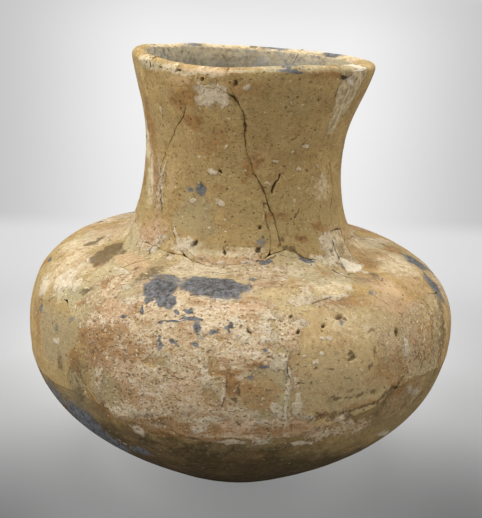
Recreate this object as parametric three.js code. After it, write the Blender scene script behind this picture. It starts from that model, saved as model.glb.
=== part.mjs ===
// Mended pottery water bottle: squat round body, flaring neck, small flat base.
// The pot was found broken. Its sherds stand edge to edge as a mender joined them,
// with two plaster fills where pieces were lost. Millimetres, Z up, origin at the
// middle of the flat base, front of the pot towards -Y.
import * as THREE from 'three';

// Outline of the outer face, from the base up
const baseFlatRadius = 26;
const bellyRadius = 82;
const bellyHeight = 60.8;
const rootRadius = 49.8;
const shoulderRise = 31.3;
const waistRadius = 37.5;
const waistRise = 33.3;
const rimRadius = 44.6;
const rimRise = 33.7;

// Walls, lip and the glue joint between sherds
const floorWall = 9;
const bellyWall = 7;
const neckWall = 5.8;
const lipRound = 2.6;
const joinGap = 0.32;

// How far the hand-built pot is out of true
const neckLean = 2.6;
const ovalDepth = 0.5;
const flankSwell = 2.6;
const shoulderSwell = 1.6;
const rimWave = 1.8;
const rimPull = 1.7;
const rimPullReach = 14;
const lipThickening = 3.4;
const lipThickeningReach = 12;

// Directions of the outline where its curves meet, in degrees
const bowlStartAngle = 31.8;
const rootDipAngle = 1.6;
const rimFlareAngle = 7.9;

// Slopes of the body and of the rim towards the right, as drop per millimetre
const bodySlopeShare = 0.021;
const rimSlopeShare = 0.031;

// Handles of the outline's curves, as shares of the rise or width that each one spans
const bowlStartHandleShare = 0.44;
const bellyLowerHandleShare = 0.54;
const bellyUpperHandleShare = 0.75;
const rootOuterHandleShare = 0.455;
const rootInnerHandleShare = 0.77;
const waistLowerHandleShare = 0.424;
const waistUpperHandleShare = 0.464;
const rimHandleShare = 0.34;

const rootHeight = bellyHeight + shoulderRise;
const waistHeight = rootHeight + waistRise;
const rimHeight = waistHeight + rimRise;
const potHeight = rimHeight + lipRound;

// The wall is laid out as a grid: columns go round the pot, rows go up the outline.
// A row's level counts the outline's curves: 0 to 1 is the flat base, 1 to 2 the bowl,
// 2 to 3 the shoulder, 3 to 4 the root of the neck, 4 to 5 the flare and 5 to 6 the lip.
const columnCount = 72;
const flatCurveCount = 1;
const belowLipCurveCount = 5;
const bands = [
  { name: 'flat', topLevel: 1, rows: 2 },
  { name: 'bowl', topLevel: 1.85, rows: 7 },
  { name: 'belly', topLevel: 2.47, rows: 6 },
  { name: 'shoulder', topLevel: 3.184, rows: 7 },
  { name: 'lowNeck', topLevel: 3.72, rows: 4 },
  { name: 'midNeck', topLevel: 4.37, rows: 5 },
  { name: 'highNeck', topLevel: 4.81, rows: 3 },
  { name: 'underLip', topLevel: 5, rows: 1 },
  { name: 'lip', topLevel: 6, rows: 3 },
];

// Breaks that run round the pot: [bearing in degrees, level], bearing 0 at the front
const ringPaths = {
  bowl: [
    [-60, 1.82], [-45, 1.86], [-35, 1.85], [-27, 1.8], [-10, 1.79], [4, 1.79], [14, 1.82],
    [28, 1.87], [35, 1.91], [42, 1.96], [52, 1.99], [64, 1.97], [90, 1.93], [130, 1.8],
    [180, 1.87], [225, 1.8], [265, 1.88],
  ],
  belly: [
    [-60, 2.32], [-50, 2.37], [-40, 2.44], [-21, 2.43], [-9, 2.47], [8, 2.51], [22, 2.6],
    [35, 2.68], [42, 2.62], [47, 2.46], [64, 2.52], [71, 2.43], [100, 2.52], [140, 2.4],
    [180, 2.53], [220, 2.44], [270, 2.38],
  ],
  shoulder: [
    [-74, 3.31], [-51, 3.18], [-27, 3.16], [-13, 3.09], [-1, 3.15], [9, 3.18], [20, 3.3],
    [29, 3.24], [36, 3.16], [47, 3.17], [54, 3.3], [75, 3.24], [110, 3.14], [150, 3.25],
    [190, 3.12], [230, 3.22], [260, 3.2],
  ],
  highNeck: [[-60, 4.72], [-45, 4.78], [-30, 4.87], [-14, 4.88], [-9, 4.8], [180, 4.81]],
};

// Breaks and guides that run up the pot: the grid column that each one follows, and its
// path as [level, bearing in degrees]. The columns between two of them share the space.
const risers = [
  {
    name: 'left',
    column: -12,
    path: [
      [1, -60], [1.6, -45], [1.85, -35], [1.95, -39], [2.09, -38], [2.22, -43], [2.34, -52],
      [2.55, -51], [2.78, -51], [2.95, -60], [3.18, -73], [3.73, -71], [4.07, -65], [4.35, -59],
      [5, -57],
    ],
  },
  {
    name: 'neckLeft',
    column: -6,
    path: [
      [1, -30], [1.85, -18], [2.33, -24], [3.16, -27], [3.3, -35], [3.44, -39], [3.62, -48],
      [3.86, -56], [4.13, -49], [4.32, -41], [4.53, -34], [5, -28],
    ],
  },
  {
    name: 'splinter',
    column: 3,
    path: [
      [1, 15], [1.85, 11], [2.55, 11], [3.18, 16], [3.44, 15], [3.62, 13], [3.72, 11], [3.86, 7],
      [4.07, 0], [4.18, -5], [4.43, -5.5], [4.73, -10], [5, -18],
    ],
  },
  {
    name: 'front',
    column: 4,
    path: [
      [1, 20], [1.79, 14], [2.1, 12], [2.3, 12], [2.55, 14], [3, 19], [3.3, 21], [3.44, 19],
      [3.6, 17.5], [3.72, 14], [3.86, 11], [4.07, 5], [4.18, 0], [4.43, 0], [4.59, -2], [4.73, -5],
      [4.81, -9], [5, -13],
    ],
  },
  {
    name: 'right',
    column: 12,
    path: [
      [1, 60], [1.85, 38], [2.4, 36], [2.68, 35], [2.85, 42], [3.1, 52], [3.44, 54], [3.7, 61],
      [3.82, 63], [4.07, 55], [4.37, 47], [4.64, 44], [5, 41],
    ],
  },
  {
    name: 'fill',
    column: 14,
    path: [
      [1, 70], [1.5, 55], [1.96, 42], [2.05, 45], [2.22, 44], [2.34, 45], [2.46, 47], [2.7, 52],
      [2.85, 56], [3.1, 63], [3.3, 64], [3.7, 72], [4.07, 64], [4.37, 51.5], [4.64, 57], [5, 62],
    ],
  },
  {
    name: 'side',
    column: 18,
    path: [
      [1, 90], [1.5, 78], [1.97, 63], [2.05, 65], [2.18, 69], [2.3, 69], [2.42, 71], [2.7, 78],
      [3.1, 84], [3.7, 90], [4.37, 86], [5, 88],
    ],
  },
  {
    name: 'neckEnd',
    column: 32,
    path: [[1, 150], [1.85, 145], [2.45, 146], [3.2, 158], [3.5, 163], [3.9, 156], [4.3, 160], [5, 154]],
  },
  {
    name: 'bellyEnd',
    column: 36,
    path: [[1, 175], [1.85, 168], [2, 172], [2.2, 166], [2.35, 170], [2.47, 165], [3.2, 178], [5, 176]],
  },
  {
    name: 'ridgeEnd',
    column: 40,
    path: [[1, 198], [1.85, 192], [2.47, 190], [2.65, 196], [2.85, 191], [3.18, 199], [5, 200]],
  },
  { name: 'backGuide', column: 50, path: [[1, 250], [2.4, 250], [3.2, 248], [5, 255]] },
];

// Small steps to and fro along every break, as shares of the two jags below
const jagShares = [0, 0.8, -0.5, 0.4, -0.9, 0.6, -0.3];
const riserJagAngle = 0.8;
const ringJagShare = 0.012;

const fullCircleAngle = 360;

// Below this share of the height over the belly the neck bends a little to the left, and
// above it to the right
const leanTurnShare = 0.8;

// Bearings at which the pot is widest or fullest, in degrees
const ovalAngle = 35;
const flankAngle = -80;
const shoulderAngle = 80;
const rimPullAngle = -98;
const thickLipAngle = 75;

// Where the two swellings of the body lie: the left one on the bowl, as shares of the belly's
// height, and the right one on the shoulder, as shares of the shoulder's rise
const flankHeightShare = 0.44;
const flankReachShare = 0.66;
const shoulderHeightShare = 0.55;
const shoulderReachShare = 0.83;

// Ups and downs of the rim round the mouth: [bearing in degrees, share of the wave]
const rimWaveShares = [
  [-139, -0.02], [-133, -0.14], [-127, -0.3], [-118, -0.1], [-105, 0.2], [-90, 0.15], [-75, -0.1],
  [-50, -0.45], [-32, -0.58], [-15, -0.38], [0, 0.25], [12, 0.78], [22, 1], [36, 0.92], [60, 0.6],
  [90, 0.38], [135, 0.1], [165, -0.2], [200, -0.28],
];

// Outline

function polar(lengthAlong, degrees) {
  const angle = THREE.MathUtils.degToRad(degrees);
  return new THREE.Vector2(lengthAlong * Math.cos(angle), lengthAlong * Math.sin(angle));
}

function outlineCurves() {
  const centre = new THREE.Vector2(0, 0);
  const flatEdge = new THREE.Vector2(baseFlatRadius, 0);
  const belly = new THREE.Vector2(bellyRadius, bellyHeight);
  const root = new THREE.Vector2(rootRadius, rootHeight);
  const waist = new THREE.Vector2(waistRadius, waistHeight);
  const rim = new THREE.Vector2(rimRadius, rimHeight);
  const shoulderWidth = bellyRadius - rootRadius;
  const rootWidth = rootRadius - waistRadius;
  const uprightAngle = 90;

  const bowlHandle = polar(bowlStartHandleShare * bellyHeight, bowlStartAngle);
  const bellyLowerHandle = polar(bellyLowerHandleShare * bellyHeight, uprightAngle);
  const bellyUpperHandle = polar(bellyUpperHandleShare * shoulderRise, uprightAngle);
  const rootOuterHandle = polar(rootOuterHandleShare * shoulderWidth, -rootDipAngle);
  const rootInnerHandle = polar(rootInnerHandleShare * rootWidth, -rootDipAngle);
  const waistLowerHandle = polar(waistLowerHandleShare * waistRise, uprightAngle);
  const waistUpperHandle = polar(waistUpperHandleShare * rimRise, uprightAngle);
  const rimHandleLength = rimHandleShare * rimRise;
  const rimHandle = polar(rimHandleLength, uprightAngle - rimFlareAngle);

  const bowlStart = flatEdge.clone().add(bowlHandle);
  const bowlEnd = belly.clone().sub(bellyLowerHandle);
  const shoulderStart = belly.clone().add(bellyUpperHandle);
  const shoulderEnd = root.clone().add(rootOuterHandle);
  const rootStart = root.clone().sub(rootInnerHandle);
  const rootEnd = waist.clone().sub(waistLowerHandle);
  const flareStart = waist.clone().add(waistUpperHandle);
  const flareEnd = rim.clone().sub(rimHandle);
  return [
    new THREE.LineCurve(centre, flatEdge),
    new THREE.CubicBezierCurve(flatEdge, bowlStart, bowlEnd, belly),
    new THREE.CubicBezierCurve(belly, shoulderStart, shoulderEnd, root),
    new THREE.CubicBezierCurve(root, rootStart, rootEnd, waist),
    new THREE.CubicBezierCurve(waist, flareStart, flareEnd, rim),
  ];
}

const outline = outlineCurves();

function outlinePoint(level) {
  const index = Math.min(Math.floor(level), outline.length - 1);
  return outline[index].getPointAt(Math.min(level - index, 1));
}

function outlineDirection(level) {
  // At a joint between two curves the directions of both sides are averaged, so the
  // inner face turns the corner of the base without a fold
  const index = Math.min(Math.floor(level), outline.length - 1);
  const share = Math.min(level - index, 1);
  const direction = outline[index].getTangentAt(share);
  if (share === 0 && index > 0) {
    direction.add(outline[index - 1].getTangentAt(1));
  }
  return direction.normalize();
}

function between(low, high, share) {
  return low + (high - low) * share;
}

function wallAt(level) {
  if (level <= flatCurveCount) return floorWall;
  if (level <= 2) return between(floorWall, bellyWall, level - flatCurveCount);
  if (level <= 4) return between(bellyWall, neckWall, (level - 2) / 2);
  return neckWall;
}

function wallSection(level) {
  // Outer and inner points of the wall at one level, with the rounded lip above the flare
  const along = outlineDirection(level);
  const outward = new THREE.Vector2(along.y, -along.x);
  const outer = outlinePoint(level);
  const inner = outer.clone().addScaledVector(outward, -wallAt(level));
  if (level > belowLipCurveCount) {
    const turn = (level - belowLipCurveCount) * Math.PI / 2;
    const round = Math.min(lipRound, neckWall / 2);
    outer.addScaledVector(along, round * Math.sin(turn));
    inner.addScaledVector(along, round * Math.sin(turn));
    outer.addScaledVector(outward, -round * (1 - Math.cos(turn)));
    inner.addScaledVector(outward, round * (1 - Math.cos(turn)));
  }
  inner.x = Math.max(inner.x, 0);
  return { outer, inner, along };
}

// Grid of rows and columns

function rowNumbers() {
  const tops = {};
  let row = 0;
  for (const band of bands) {
    row += band.rows;
    tops[band.name] = row;
  }
  return tops;
}

const topRow = rowNumbers();
const lastRow = topRow.lip;

function jag(step) {
  const count = jagShares.length;
  return jagShares[((step % count) + count) % count];
}

function alongPath(path, at) {
  // Straight-line reading of a list of [place, value], held at its two ends
  if (at <= path[0][0]) return path[0][1];
  for (let i = 1; i < path.length; i += 1) {
    const [lowPlace, lowValue] = path[i - 1];
    const [highPlace, highValue] = path[i];
    if (at <= highPlace) return between(lowValue, highValue, (at - lowPlace) / (highPlace - lowPlace));
  }
  return path[path.length - 1][1];
}

function roundPath(path, bearing) {
  // As alongPath, but the list closes on itself after a full turn
  const first = path[0];
  const turned = THREE.MathUtils.euclideanModulo(bearing - first[0], fullCircleAngle) + first[0];
  return alongPath([...path, [first[0] + fullCircleAngle, first[1]]], turned);
}

function ringLevel(band, bearing, column) {
  const path = ringPaths[band.name];
  if (!path) return band.topLevel;
  return roundPath(path, bearing) + ringJagShare * jag(column + band.rows);
}

function levelAt(row, bearing, column) {
  let lowLevel = 0;
  let lowRow = 0;
  for (const band of bands) {
    const highLevel = ringLevel(band, bearing, column);
    if (row <= lowRow + band.rows) return between(lowLevel, highLevel, (row - lowRow) / band.rows);
    lowLevel = highLevel;
    lowRow += band.rows;
  }
  return lowLevel;
}

function riserBearing(riser, level, row) {
  const wanders = row > topRow.flat && row < topRow.underLip;
  return alongPath(riser.path, level) + (wanders ? riserJagAngle * jag(row + riser.column) : 0);
}

function bearingAt(column, level, row) {
  const first = risers[0];
  const place = THREE.MathUtils.euclideanModulo(column - first.column, columnCount) + first.column;
  let left = first;
  let right = { column: first.column + columnCount, path: first.path };
  for (const riser of risers) {
    if (riser.column <= place) left = riser;
  }
  const next = risers.find((riser) => riser.column > place);
  if (next) right = next;
  const leftBearing = riserBearing(left, level, row);
  const rightBearing = riserBearing(next ?? first, level, row) + (next ? 0 : fullCircleAngle);
  return between(leftBearing, rightBearing, (place - left.column) / (right.column - left.column));
}

function nominalLevel(row) {
  let lowLevel = 0;
  let lowRow = 0;
  for (const band of bands) {
    if (row <= lowRow + band.rows) return between(lowLevel, band.topLevel, (row - lowRow) / band.rows);
    lowLevel = band.topLevel;
    lowRow += band.rows;
  }
  return lowLevel;
}

function swellShare(height, bearing, swelling) {
  // 1 at the middle of a swelling, fading up, down and sideways to 0. Its narrowness is the
  // power of the cosine by which it fades sideways.
  const away = (height - swelling.height) / swelling.reach;
  const side = Math.cos(THREE.MathUtils.degToRad(bearing - swelling.bearing));
  return Math.max(1 - away ** 2, 0) ** 2 * Math.max(side, 0) ** swelling.narrowness;
}

const flank = {
  height: flankHeightShare * bellyHeight,
  reach: flankReachShare * bellyHeight,
  bearing: flankAngle,
  narrowness: 2,
};
const rightShoulder = {
  height: bellyHeight + shoulderHeightShare * shoulderRise,
  reach: shoulderReachShare * shoulderRise,
  bearing: shoulderAngle,
  narrowness: 2,
};
const pulledRim = { height: potHeight, reach: rimPullReach, bearing: rimPullAngle, narrowness: 4 };
const thickLip = { height: potHeight, reach: lipThickeningReach, bearing: thickLipAngle, narrowness: 2 };

function potPoint(point, bearing) {
  // Turns a point of the wall's section to its bearing, and puts the pot out of true
  const angle = THREE.MathUtils.degToRad(bearing);
  const overBelly = Math.max(point.y - bellyHeight, 0) / (potHeight - bellyHeight);
  const lift = Math.min(Math.max(point.y / bellyHeight, 0), 1);
  const oval = ovalDepth * lift * Math.cos(2 * (angle - THREE.MathUtils.degToRad(ovalAngle)));
  const swell = flankSwell * swellShare(point.y, bearing, flank)
    + shoulderSwell * swellShare(point.y, bearing, rightShoulder)
    + rimPull * swellShare(point.y, bearing, pulledRim);
  const radius = point.x > 0 ? point.x + oval + swell : 0;
  const x = radius * Math.sin(angle);
  const y = -radius * Math.cos(angle);
  const lean = neckLean * overBelly ** 2 * (overBelly - leanTurnShare) / (1 - leanTurnShare);
  const slope = bodySlopeShare * lift * (1 - overBelly) + rimSlopeShare * overBelly ** 2;
  const wave = rimWave * overBelly ** 4 * roundPath(rimWaveShares, bearing);
  return new THREE.Vector3(x + lean, y, point.y - slope * x + wave);
}

function gridPoints(row, column, stepUp, stepRight) {
  // Outer and inner corner of the wall at a grid crossing, moved by the given millimetres
  // up the outline and round the pot
  const level = levelAt(row, bearingAt(column, nominalLevel(row), row), column);
  const section = wallSection(level);
  const turn = section.outer.x > 0 ? THREE.MathUtils.radToDeg(stepRight / section.outer.x) : 0;
  const bearing = bearingAt(column, level, row) + turn;
  section.outer.addScaledVector(section.along, stepUp);
  section.inner.addScaledVector(section.along, stepUp);
  section.inner.x -= lipThickening * swellShare(section.inner.y, bearing, thickLip);
  return [potPoint(section.outer, bearing), potPoint(section.inner, bearing)];
}

// Sherds: each is a block of grid cells, given by its rows and by the two risers that it
// lies between, from left to right. A later sherd takes its cells from an earlier one.

function matt(color, roughness) {
  return new THREE.MeshStandardMaterial({ color, roughness, metalness: 0, flatShading: true });
}

const buffClay = matt(0xb39067, 0.92);
const crustedClay = matt(0xc7ab88, 0.97);
const ruddyClay = matt(0xb5875c, 0.9);
const sootedClay = matt(0x7d6750, 0.88);
const plaster = matt(0xd9cdb6, 0.98);

const rootFillLowRowCount = 3;

const { bowl, belly, shoulder, lowNeck, midNeck, highNeck } = topRow;
const sherds = [
  { name: 'base_bowl', material: sootedClay, rows: [0, bowl], sides: ['left', 'left'] },
  { name: 'belly_front_left', material: crustedClay, rows: [bowl, belly], sides: ['left', 'front'] },
  { name: 'belly_front_right', material: ruddyClay, rows: [bowl, belly], sides: ['front', 'fill'] },
  { name: 'belly_right', material: crustedClay, rows: [bowl, belly], sides: ['fill', 'side'] },
  { name: 'belly_back_right', material: buffClay, rows: [bowl, belly], sides: ['side', 'bellyEnd'] },
  { name: 'belly_back_left', material: buffClay, rows: [bowl, belly], sides: ['bellyEnd', 'left'] },
  { name: 'shoulder_front_left', material: crustedClay, rows: [belly, shoulder], sides: ['left', 'front'] },
  { name: 'shoulder_front_right', material: crustedClay, rows: [belly, shoulder], sides: ['front', 'right'] },
  { name: 'shoulder_back_right', material: buffClay, rows: [belly, shoulder], sides: ['right', 'ridgeEnd'] },
  { name: 'shoulder_back_left', material: buffClay, rows: [belly, shoulder], sides: ['ridgeEnd', 'left'] },
  { name: 'neck_left', material: buffClay, rows: [shoulder, highNeck], sides: ['left', 'neckLeft'] },
  { name: 'neck_front_left', material: buffClay, rows: [shoulder, highNeck], sides: ['neckLeft', 'front'] },
  { name: 'neck_front_right', material: buffClay, rows: [shoulder, lastRow], sides: ['front', 'right'] },
  { name: 'neck_back_right', material: buffClay, rows: [shoulder, lastRow], sides: ['right', 'neckEnd'] },
  { name: 'neck_back_left', material: buffClay, rows: [shoulder, lastRow], sides: ['neckEnd', 'left'] },
  { name: 'neck_splinter', material: buffClay, rows: [shoulder, lowNeck], sides: ['splinter', 'front'] },
  { name: 'lip_front_left', material: buffClay, rows: [highNeck, lastRow], sides: ['left', 'front'] },
  { name: 'lip_fill', material: plaster, rows: [midNeck, lastRow], sides: ['right', 'fill'] },
  {
    name: 'root_fill',
    material: plaster,
    rows: [shoulder - rootFillLowRowCount, shoulder + 1],
    sides: ['right', 'fill'],
  },
];

function wrapColumn(column) {
  return THREE.MathUtils.euclideanModulo(column, columnCount);
}

function riserColumn(name) {
  return risers.find((riser) => riser.name === name).column;
}

function shareOutCells() {
  const owners = Array.from({ length: lastRow }, () => new Array(columnCount).fill(null));
  for (const sherd of sherds) {
    const firstColumn = riserColumn(sherd.sides[0]);
    const width = wrapColumn(riserColumn(sherd.sides[1]) - firstColumn) || columnCount;
    for (let row = sherd.rows[0]; row < sherd.rows[1]; row += 1) {
      for (let column = firstColumn; column < firstColumn + width; column += 1) {
        owners[row][wrapColumn(column)] = sherd.name;
      }
    }
  }
  return owners;
}

const owners = shareOutCells();

function owns(name, row, column) {
  // The pole and the lip's crest have no cells beyond them, so the nearest row stands in
  const heldRow = Math.min(Math.max(row, 0), lastRow - 1);
  return owners[heldRow][wrapColumn(column)] === name ? 1 : 0;
}

function glueStep(name, row, column) {
  // Half a glue joint, away from the neighbours that meet at this crossing
  const lowerLeft = owns(name, row - 1, column - 1);
  const lowerRight = owns(name, row - 1, column);
  const upperLeft = owns(name, row, column - 1);
  const upperRight = owns(name, row, column);
  const up = Math.sign(upperLeft + upperRight - lowerLeft - lowerRight);
  const right = Math.sign(lowerRight + upperRight - lowerLeft - upperLeft);
  return [up * joinGap / 2, right * joinGap / 2];
}

function sherdGeometry(name) {
  const positions = [];
  const faces = [];
  const corners = new Map();

  function corner(row, column) {
    // Numbers of the outer and inner vertex at a crossing, which the pole has only once
    const key = row === 0 ? 'pole' : `${row}/${wrapColumn(column)}`;
    if (!corners.has(key)) {
      const [stepUp, stepRight] = glueStep(name, row, column);
      const [outer, inner] = gridPoints(row, wrapColumn(column), stepUp, stepRight);
      const first = positions.length / 3;
      positions.push(...outer.toArray(), ...inner.toArray());
      corners.set(key, [first, first + 1]);
    }
    return corners.get(key);
  }

  function face(a, b, c) {
    if (a !== b && b !== c && c !== a) faces.push(a, b, c);
  }

  function quad(a, b, c, d) {
    face(a, b, c);
    face(a, c, d);
  }

  function breakFace(from, to) {
    quad(from[0], to[0], to[1], from[1]);
  }

  function matchingBreakFace(from, to) {
    // The neighbour's side of the same break, split on the same diagonal
    quad(to[0], to[1], from[1], from[0]);
  }

  for (let row = 0; row < lastRow; row += 1) {
    for (let column = 0; column < columnCount; column += 1) {
      if (!owns(name, row, column)) continue;
      const lowLeft = corner(row, column);
      const lowRight = corner(row, column + 1);
      const highRight = corner(row + 1, column + 1);
      const highLeft = corner(row + 1, column);
      quad(lowLeft[0], lowRight[0], highRight[0], highLeft[0]);
      quad(lowLeft[1], highLeft[1], highRight[1], lowRight[1]);
      if (!owns(name, row - 1, column)) matchingBreakFace(lowRight, lowLeft);
      if (row + 1 === lastRow || !owns(name, row + 1, column)) breakFace(highLeft, highRight);
      if (!owns(name, row, column - 1)) breakFace(lowLeft, highLeft);
      if (!owns(name, row, column + 1)) matchingBreakFace(highRight, lowRight);
    }
  }

  const geometry = new THREE.BufferGeometry();
  geometry.setAttribute('position', new THREE.Float32BufferAttribute(positions, 3));
  geometry.setIndex(faces);
  geometry.computeVertexNormals();
  return geometry;
}

const bottle = new THREE.Group();
bottle.name = 'pottery_water_bottle';
for (const sherd of sherds) {
  const mesh = new THREE.Mesh(sherdGeometry(sherd.name), sherd.material);
  mesh.name = sherd.name;
  bottle.add(mesh);
}

export default bottle;
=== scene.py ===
"""Looks of the mended pottery water bottle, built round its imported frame.

Every sherd is a finer copy of its CAD solid, with hand-made unevenness, chipped breaks, pits
and a crust of lime. Colour layers are kept on each sherd as attributes that its clay reads.
"""

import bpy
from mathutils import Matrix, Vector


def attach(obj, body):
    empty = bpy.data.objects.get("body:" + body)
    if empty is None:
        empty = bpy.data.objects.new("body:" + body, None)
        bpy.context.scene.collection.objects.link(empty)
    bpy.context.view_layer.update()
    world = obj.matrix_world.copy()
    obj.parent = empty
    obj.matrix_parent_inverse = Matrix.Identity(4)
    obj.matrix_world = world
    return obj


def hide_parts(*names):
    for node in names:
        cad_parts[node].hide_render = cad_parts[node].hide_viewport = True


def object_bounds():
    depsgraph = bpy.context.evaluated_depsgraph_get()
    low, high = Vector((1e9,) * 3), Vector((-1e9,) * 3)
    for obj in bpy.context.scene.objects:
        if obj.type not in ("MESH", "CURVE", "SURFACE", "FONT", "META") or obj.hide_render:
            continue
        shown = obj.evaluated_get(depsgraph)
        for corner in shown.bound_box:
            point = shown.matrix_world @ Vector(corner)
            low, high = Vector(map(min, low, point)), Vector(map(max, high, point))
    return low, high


bl_info = {
    "name": "Mended pottery water bottle",
    "version": (1, 0, 0),
    "blender": (4, 5, 0),
    "location": "3D View > Sidebar > Bottle",
    "description": "Builds the weathered sherds, plaster fills and stage of a mended pottery bottle",
    "category": "Object",
}

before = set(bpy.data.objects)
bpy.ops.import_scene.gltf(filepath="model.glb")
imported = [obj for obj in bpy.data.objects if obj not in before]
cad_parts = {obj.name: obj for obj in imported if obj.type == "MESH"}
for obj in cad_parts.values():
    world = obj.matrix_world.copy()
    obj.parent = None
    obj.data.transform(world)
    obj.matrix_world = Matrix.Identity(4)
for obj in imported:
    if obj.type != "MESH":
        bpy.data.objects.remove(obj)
cad_low, cad_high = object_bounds()

import math
import random

import bmesh
import bpy
import numpy as np
from bpy.props import FloatProperty, FloatVectorProperty, PointerProperty
from bpy.types import Operator, Panel, PropertyGroup
from mathutils import Matrix, Vector, kdtree
from mathutils.bvhtree import BVHTree

MILLIMETRE = 0.001

# Rays that trace the wall's outer face, in degrees and millimetres: round the belly's core, then
# level ones up the neck, and last a falling one onto the lip
BELLY_CORE = (25, 60)
FIRST_ANGLE = -89
LAST_ANGLE = 71
ANGLE_STEP = 5
NECK_HEIGHTS = range(106, 158, 5)
LIP_RADIUS = 42
LID_HEIGHT = 160
LID_CORNERS = 32
BEARING_STEP = 30
RAY_REACH = 120

# Heights in millimetres where the neck begins, how far the body's outline overlaps it and where
# the rounded rim begins, and the lean of the body
NECK_START = 100
BODY_OVERLAP = 5
RIM_START = 157.6
BODY_SLOPE = 0.021

# Sizes in millimetres of the noises that bend the outlines of the marks
WARP_SIZES = (16, 7, 3, 1.3)

# Where a mark has faded away and how far round it places are looked at, as shares of its half
# sizes. A stroke's margin is in degrees and in millimetres
MARK_END = 1.5
MARK_REACH = 2.2
STROKE_MARGIN = 3

# Half size in millimetres past which a soot mark is a cloud, and how much of the bend it keeps
CLOUD_SIZE = 3
CLOUD_UNREST = 0.6

# Wear in millimetres: the sway of the breaks, its finer share and how it calms below the rim, the
# width of a stained seam and the depth of fine ripples
SWAY = 0.9
FINE_SWAY_SHARE = 0.35
CALM_HEIGHT = 8
LEAST_CALM = 0.15
SEAM_WIDTH = 1.8
RIPPLE_DEPTH = 0.12

# A distance past everything, and the least length that anything is divided by
FAR_AWAY = 1e3
TINY = 1e-9

# Darkening low on the bowl, in metres: where it begins, where it is full, how its edge wanders, and how
# much less high it reaches for each metre to the right
LOW_DARK_TOP = 0.048
LOW_DARK_FULL = 0.035
LOW_DARK_UNREST = 0.025
LOW_DARK_SLANT = 0.26

# Floor and lamps, in metres: the floor's half width, the gap under the pot, the skew of the
# horizon, how far the camera is in front, where the horizon is, and where the lamps look
FLOOR_HALF = 6
FLOOR_GAP = 0.0001
FLOOR_SKEW = -0.08
CAMERA_REACH = 0.43
HORIZON_START = 0.355
HORIZON_END = 0.42
LAMP_AIM = (0, 0, 0.08)

# Softboxes: name, place, width and height, and the right one's share of the left one's power
LEFT_SOFTBOX = ("left_softbox", (-0.85, -0.35, 0.55), 0.6, 0.9)
RIGHT_SOFTBOX = ("right_softbox", (0.85, -0.3, 0.5), 0.5, 0.8)
TOP_SOFTBOX = ("top_softbox", (0, 0.05, 1.0), 0.9, 0.9)
RIGHT_SHARE = 0.4

# Noises on the sherds: size in millimetres, seed and how many ever finer noises are added up
CHIP_NOISE = (3.5, 21, 3)
DIP_NOISE = (26, 31, 2)
RIPPLE_NOISE = (5, 32, 3)
CRUST_NOISE = (2.4, 41, 3)
SWAY_NOISE = (7, 50, 3)
FINE_SWAY_NOISE = (2.2, 55, 2)
CROSSING_NOISE = (6, 61, 3)

# Seeds of the strewn marks and of the noises that bend the marks across and along the wall
STREWN_SEED = 11
ACROSS_SEED = 70
ALONG_SEED = 80

# Distance in metres at which packed corners merge, and the angles at which faces of the packed
# sherds join, edges stay sharp and shading breaks
MERGE_DISTANCE = 0.00001
JOINED_ANGLE = math.radians(28)
JOINED_SLANT = math.radians(70)
CREASE_ANGLE = math.radians(50)
SHARP_ANGLE = math.radians(42)

# How straight a face looks out of the wall or up to be an outer one, and how little along the
# rim a face of the crest looks
OUTER_FACING = 0.5
CREST_SLANT = 0.6

# Sherds by group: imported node, clay and the number of times that its faces are halved
BOWL_SHERDS = (("base_bowl", "sooted_clay", 3),)
BELLY_SHERDS = (
    ("belly_front_left", "crusted_clay", 4),
    ("belly_front_right", "ruddy_clay", 4),
    ("belly_right", "crusted_clay", 4),
    ("belly_back_right", "buff_clay", 3),
    ("belly_back_left", "buff_clay", 3),
)
SHOULDER_SHERDS = (
    ("shoulder_front_left", "crusted_clay", 4),
    ("shoulder_front_right", "crusted_clay", 4),
    ("shoulder_back_right", "buff_clay", 3),
    ("shoulder_back_left", "buff_clay", 3),
)
NECK_SHERDS = (
    ("neck_left", "buff_clay", 4),
    ("neck_front_left", "buff_clay", 4),
    ("neck_front_right", "buff_clay", 4),
    ("neck_splinter", "buff_clay", 4),
    ("neck_back_right", "buff_clay", 3),
    ("neck_back_left", "buff_clay", 3),
)
LIP_SHERDS = (("lip_front_left", "buff_clay", 4),)
PLASTER_FILLS = (("lip_fill", "plaster_fill", 4), ("root_fill", "plaster_fill", 4))

LAYERS = ("crust", "clay", "pale", "moss", "rose", "rust", "umber", "chalk", "soot", "dent", "gape")

# Size of the photo in pixels, and the camera that took it, in metres, radians and millimetres
PHOTO_WIDTH = 482
PHOTO_HEIGHT = 518
CAMERA_DISTANCE = 0.4278
CAMERA_HEIGHT = 0.2048
CAMERA_DIP = math.radians(16.81)
CAMERA_ROLL = math.radians(2.24)
CAMERA_LENS = 79.48
SENSOR_WIDTH = 36
LENS_SHIFT = 0.0384

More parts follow.
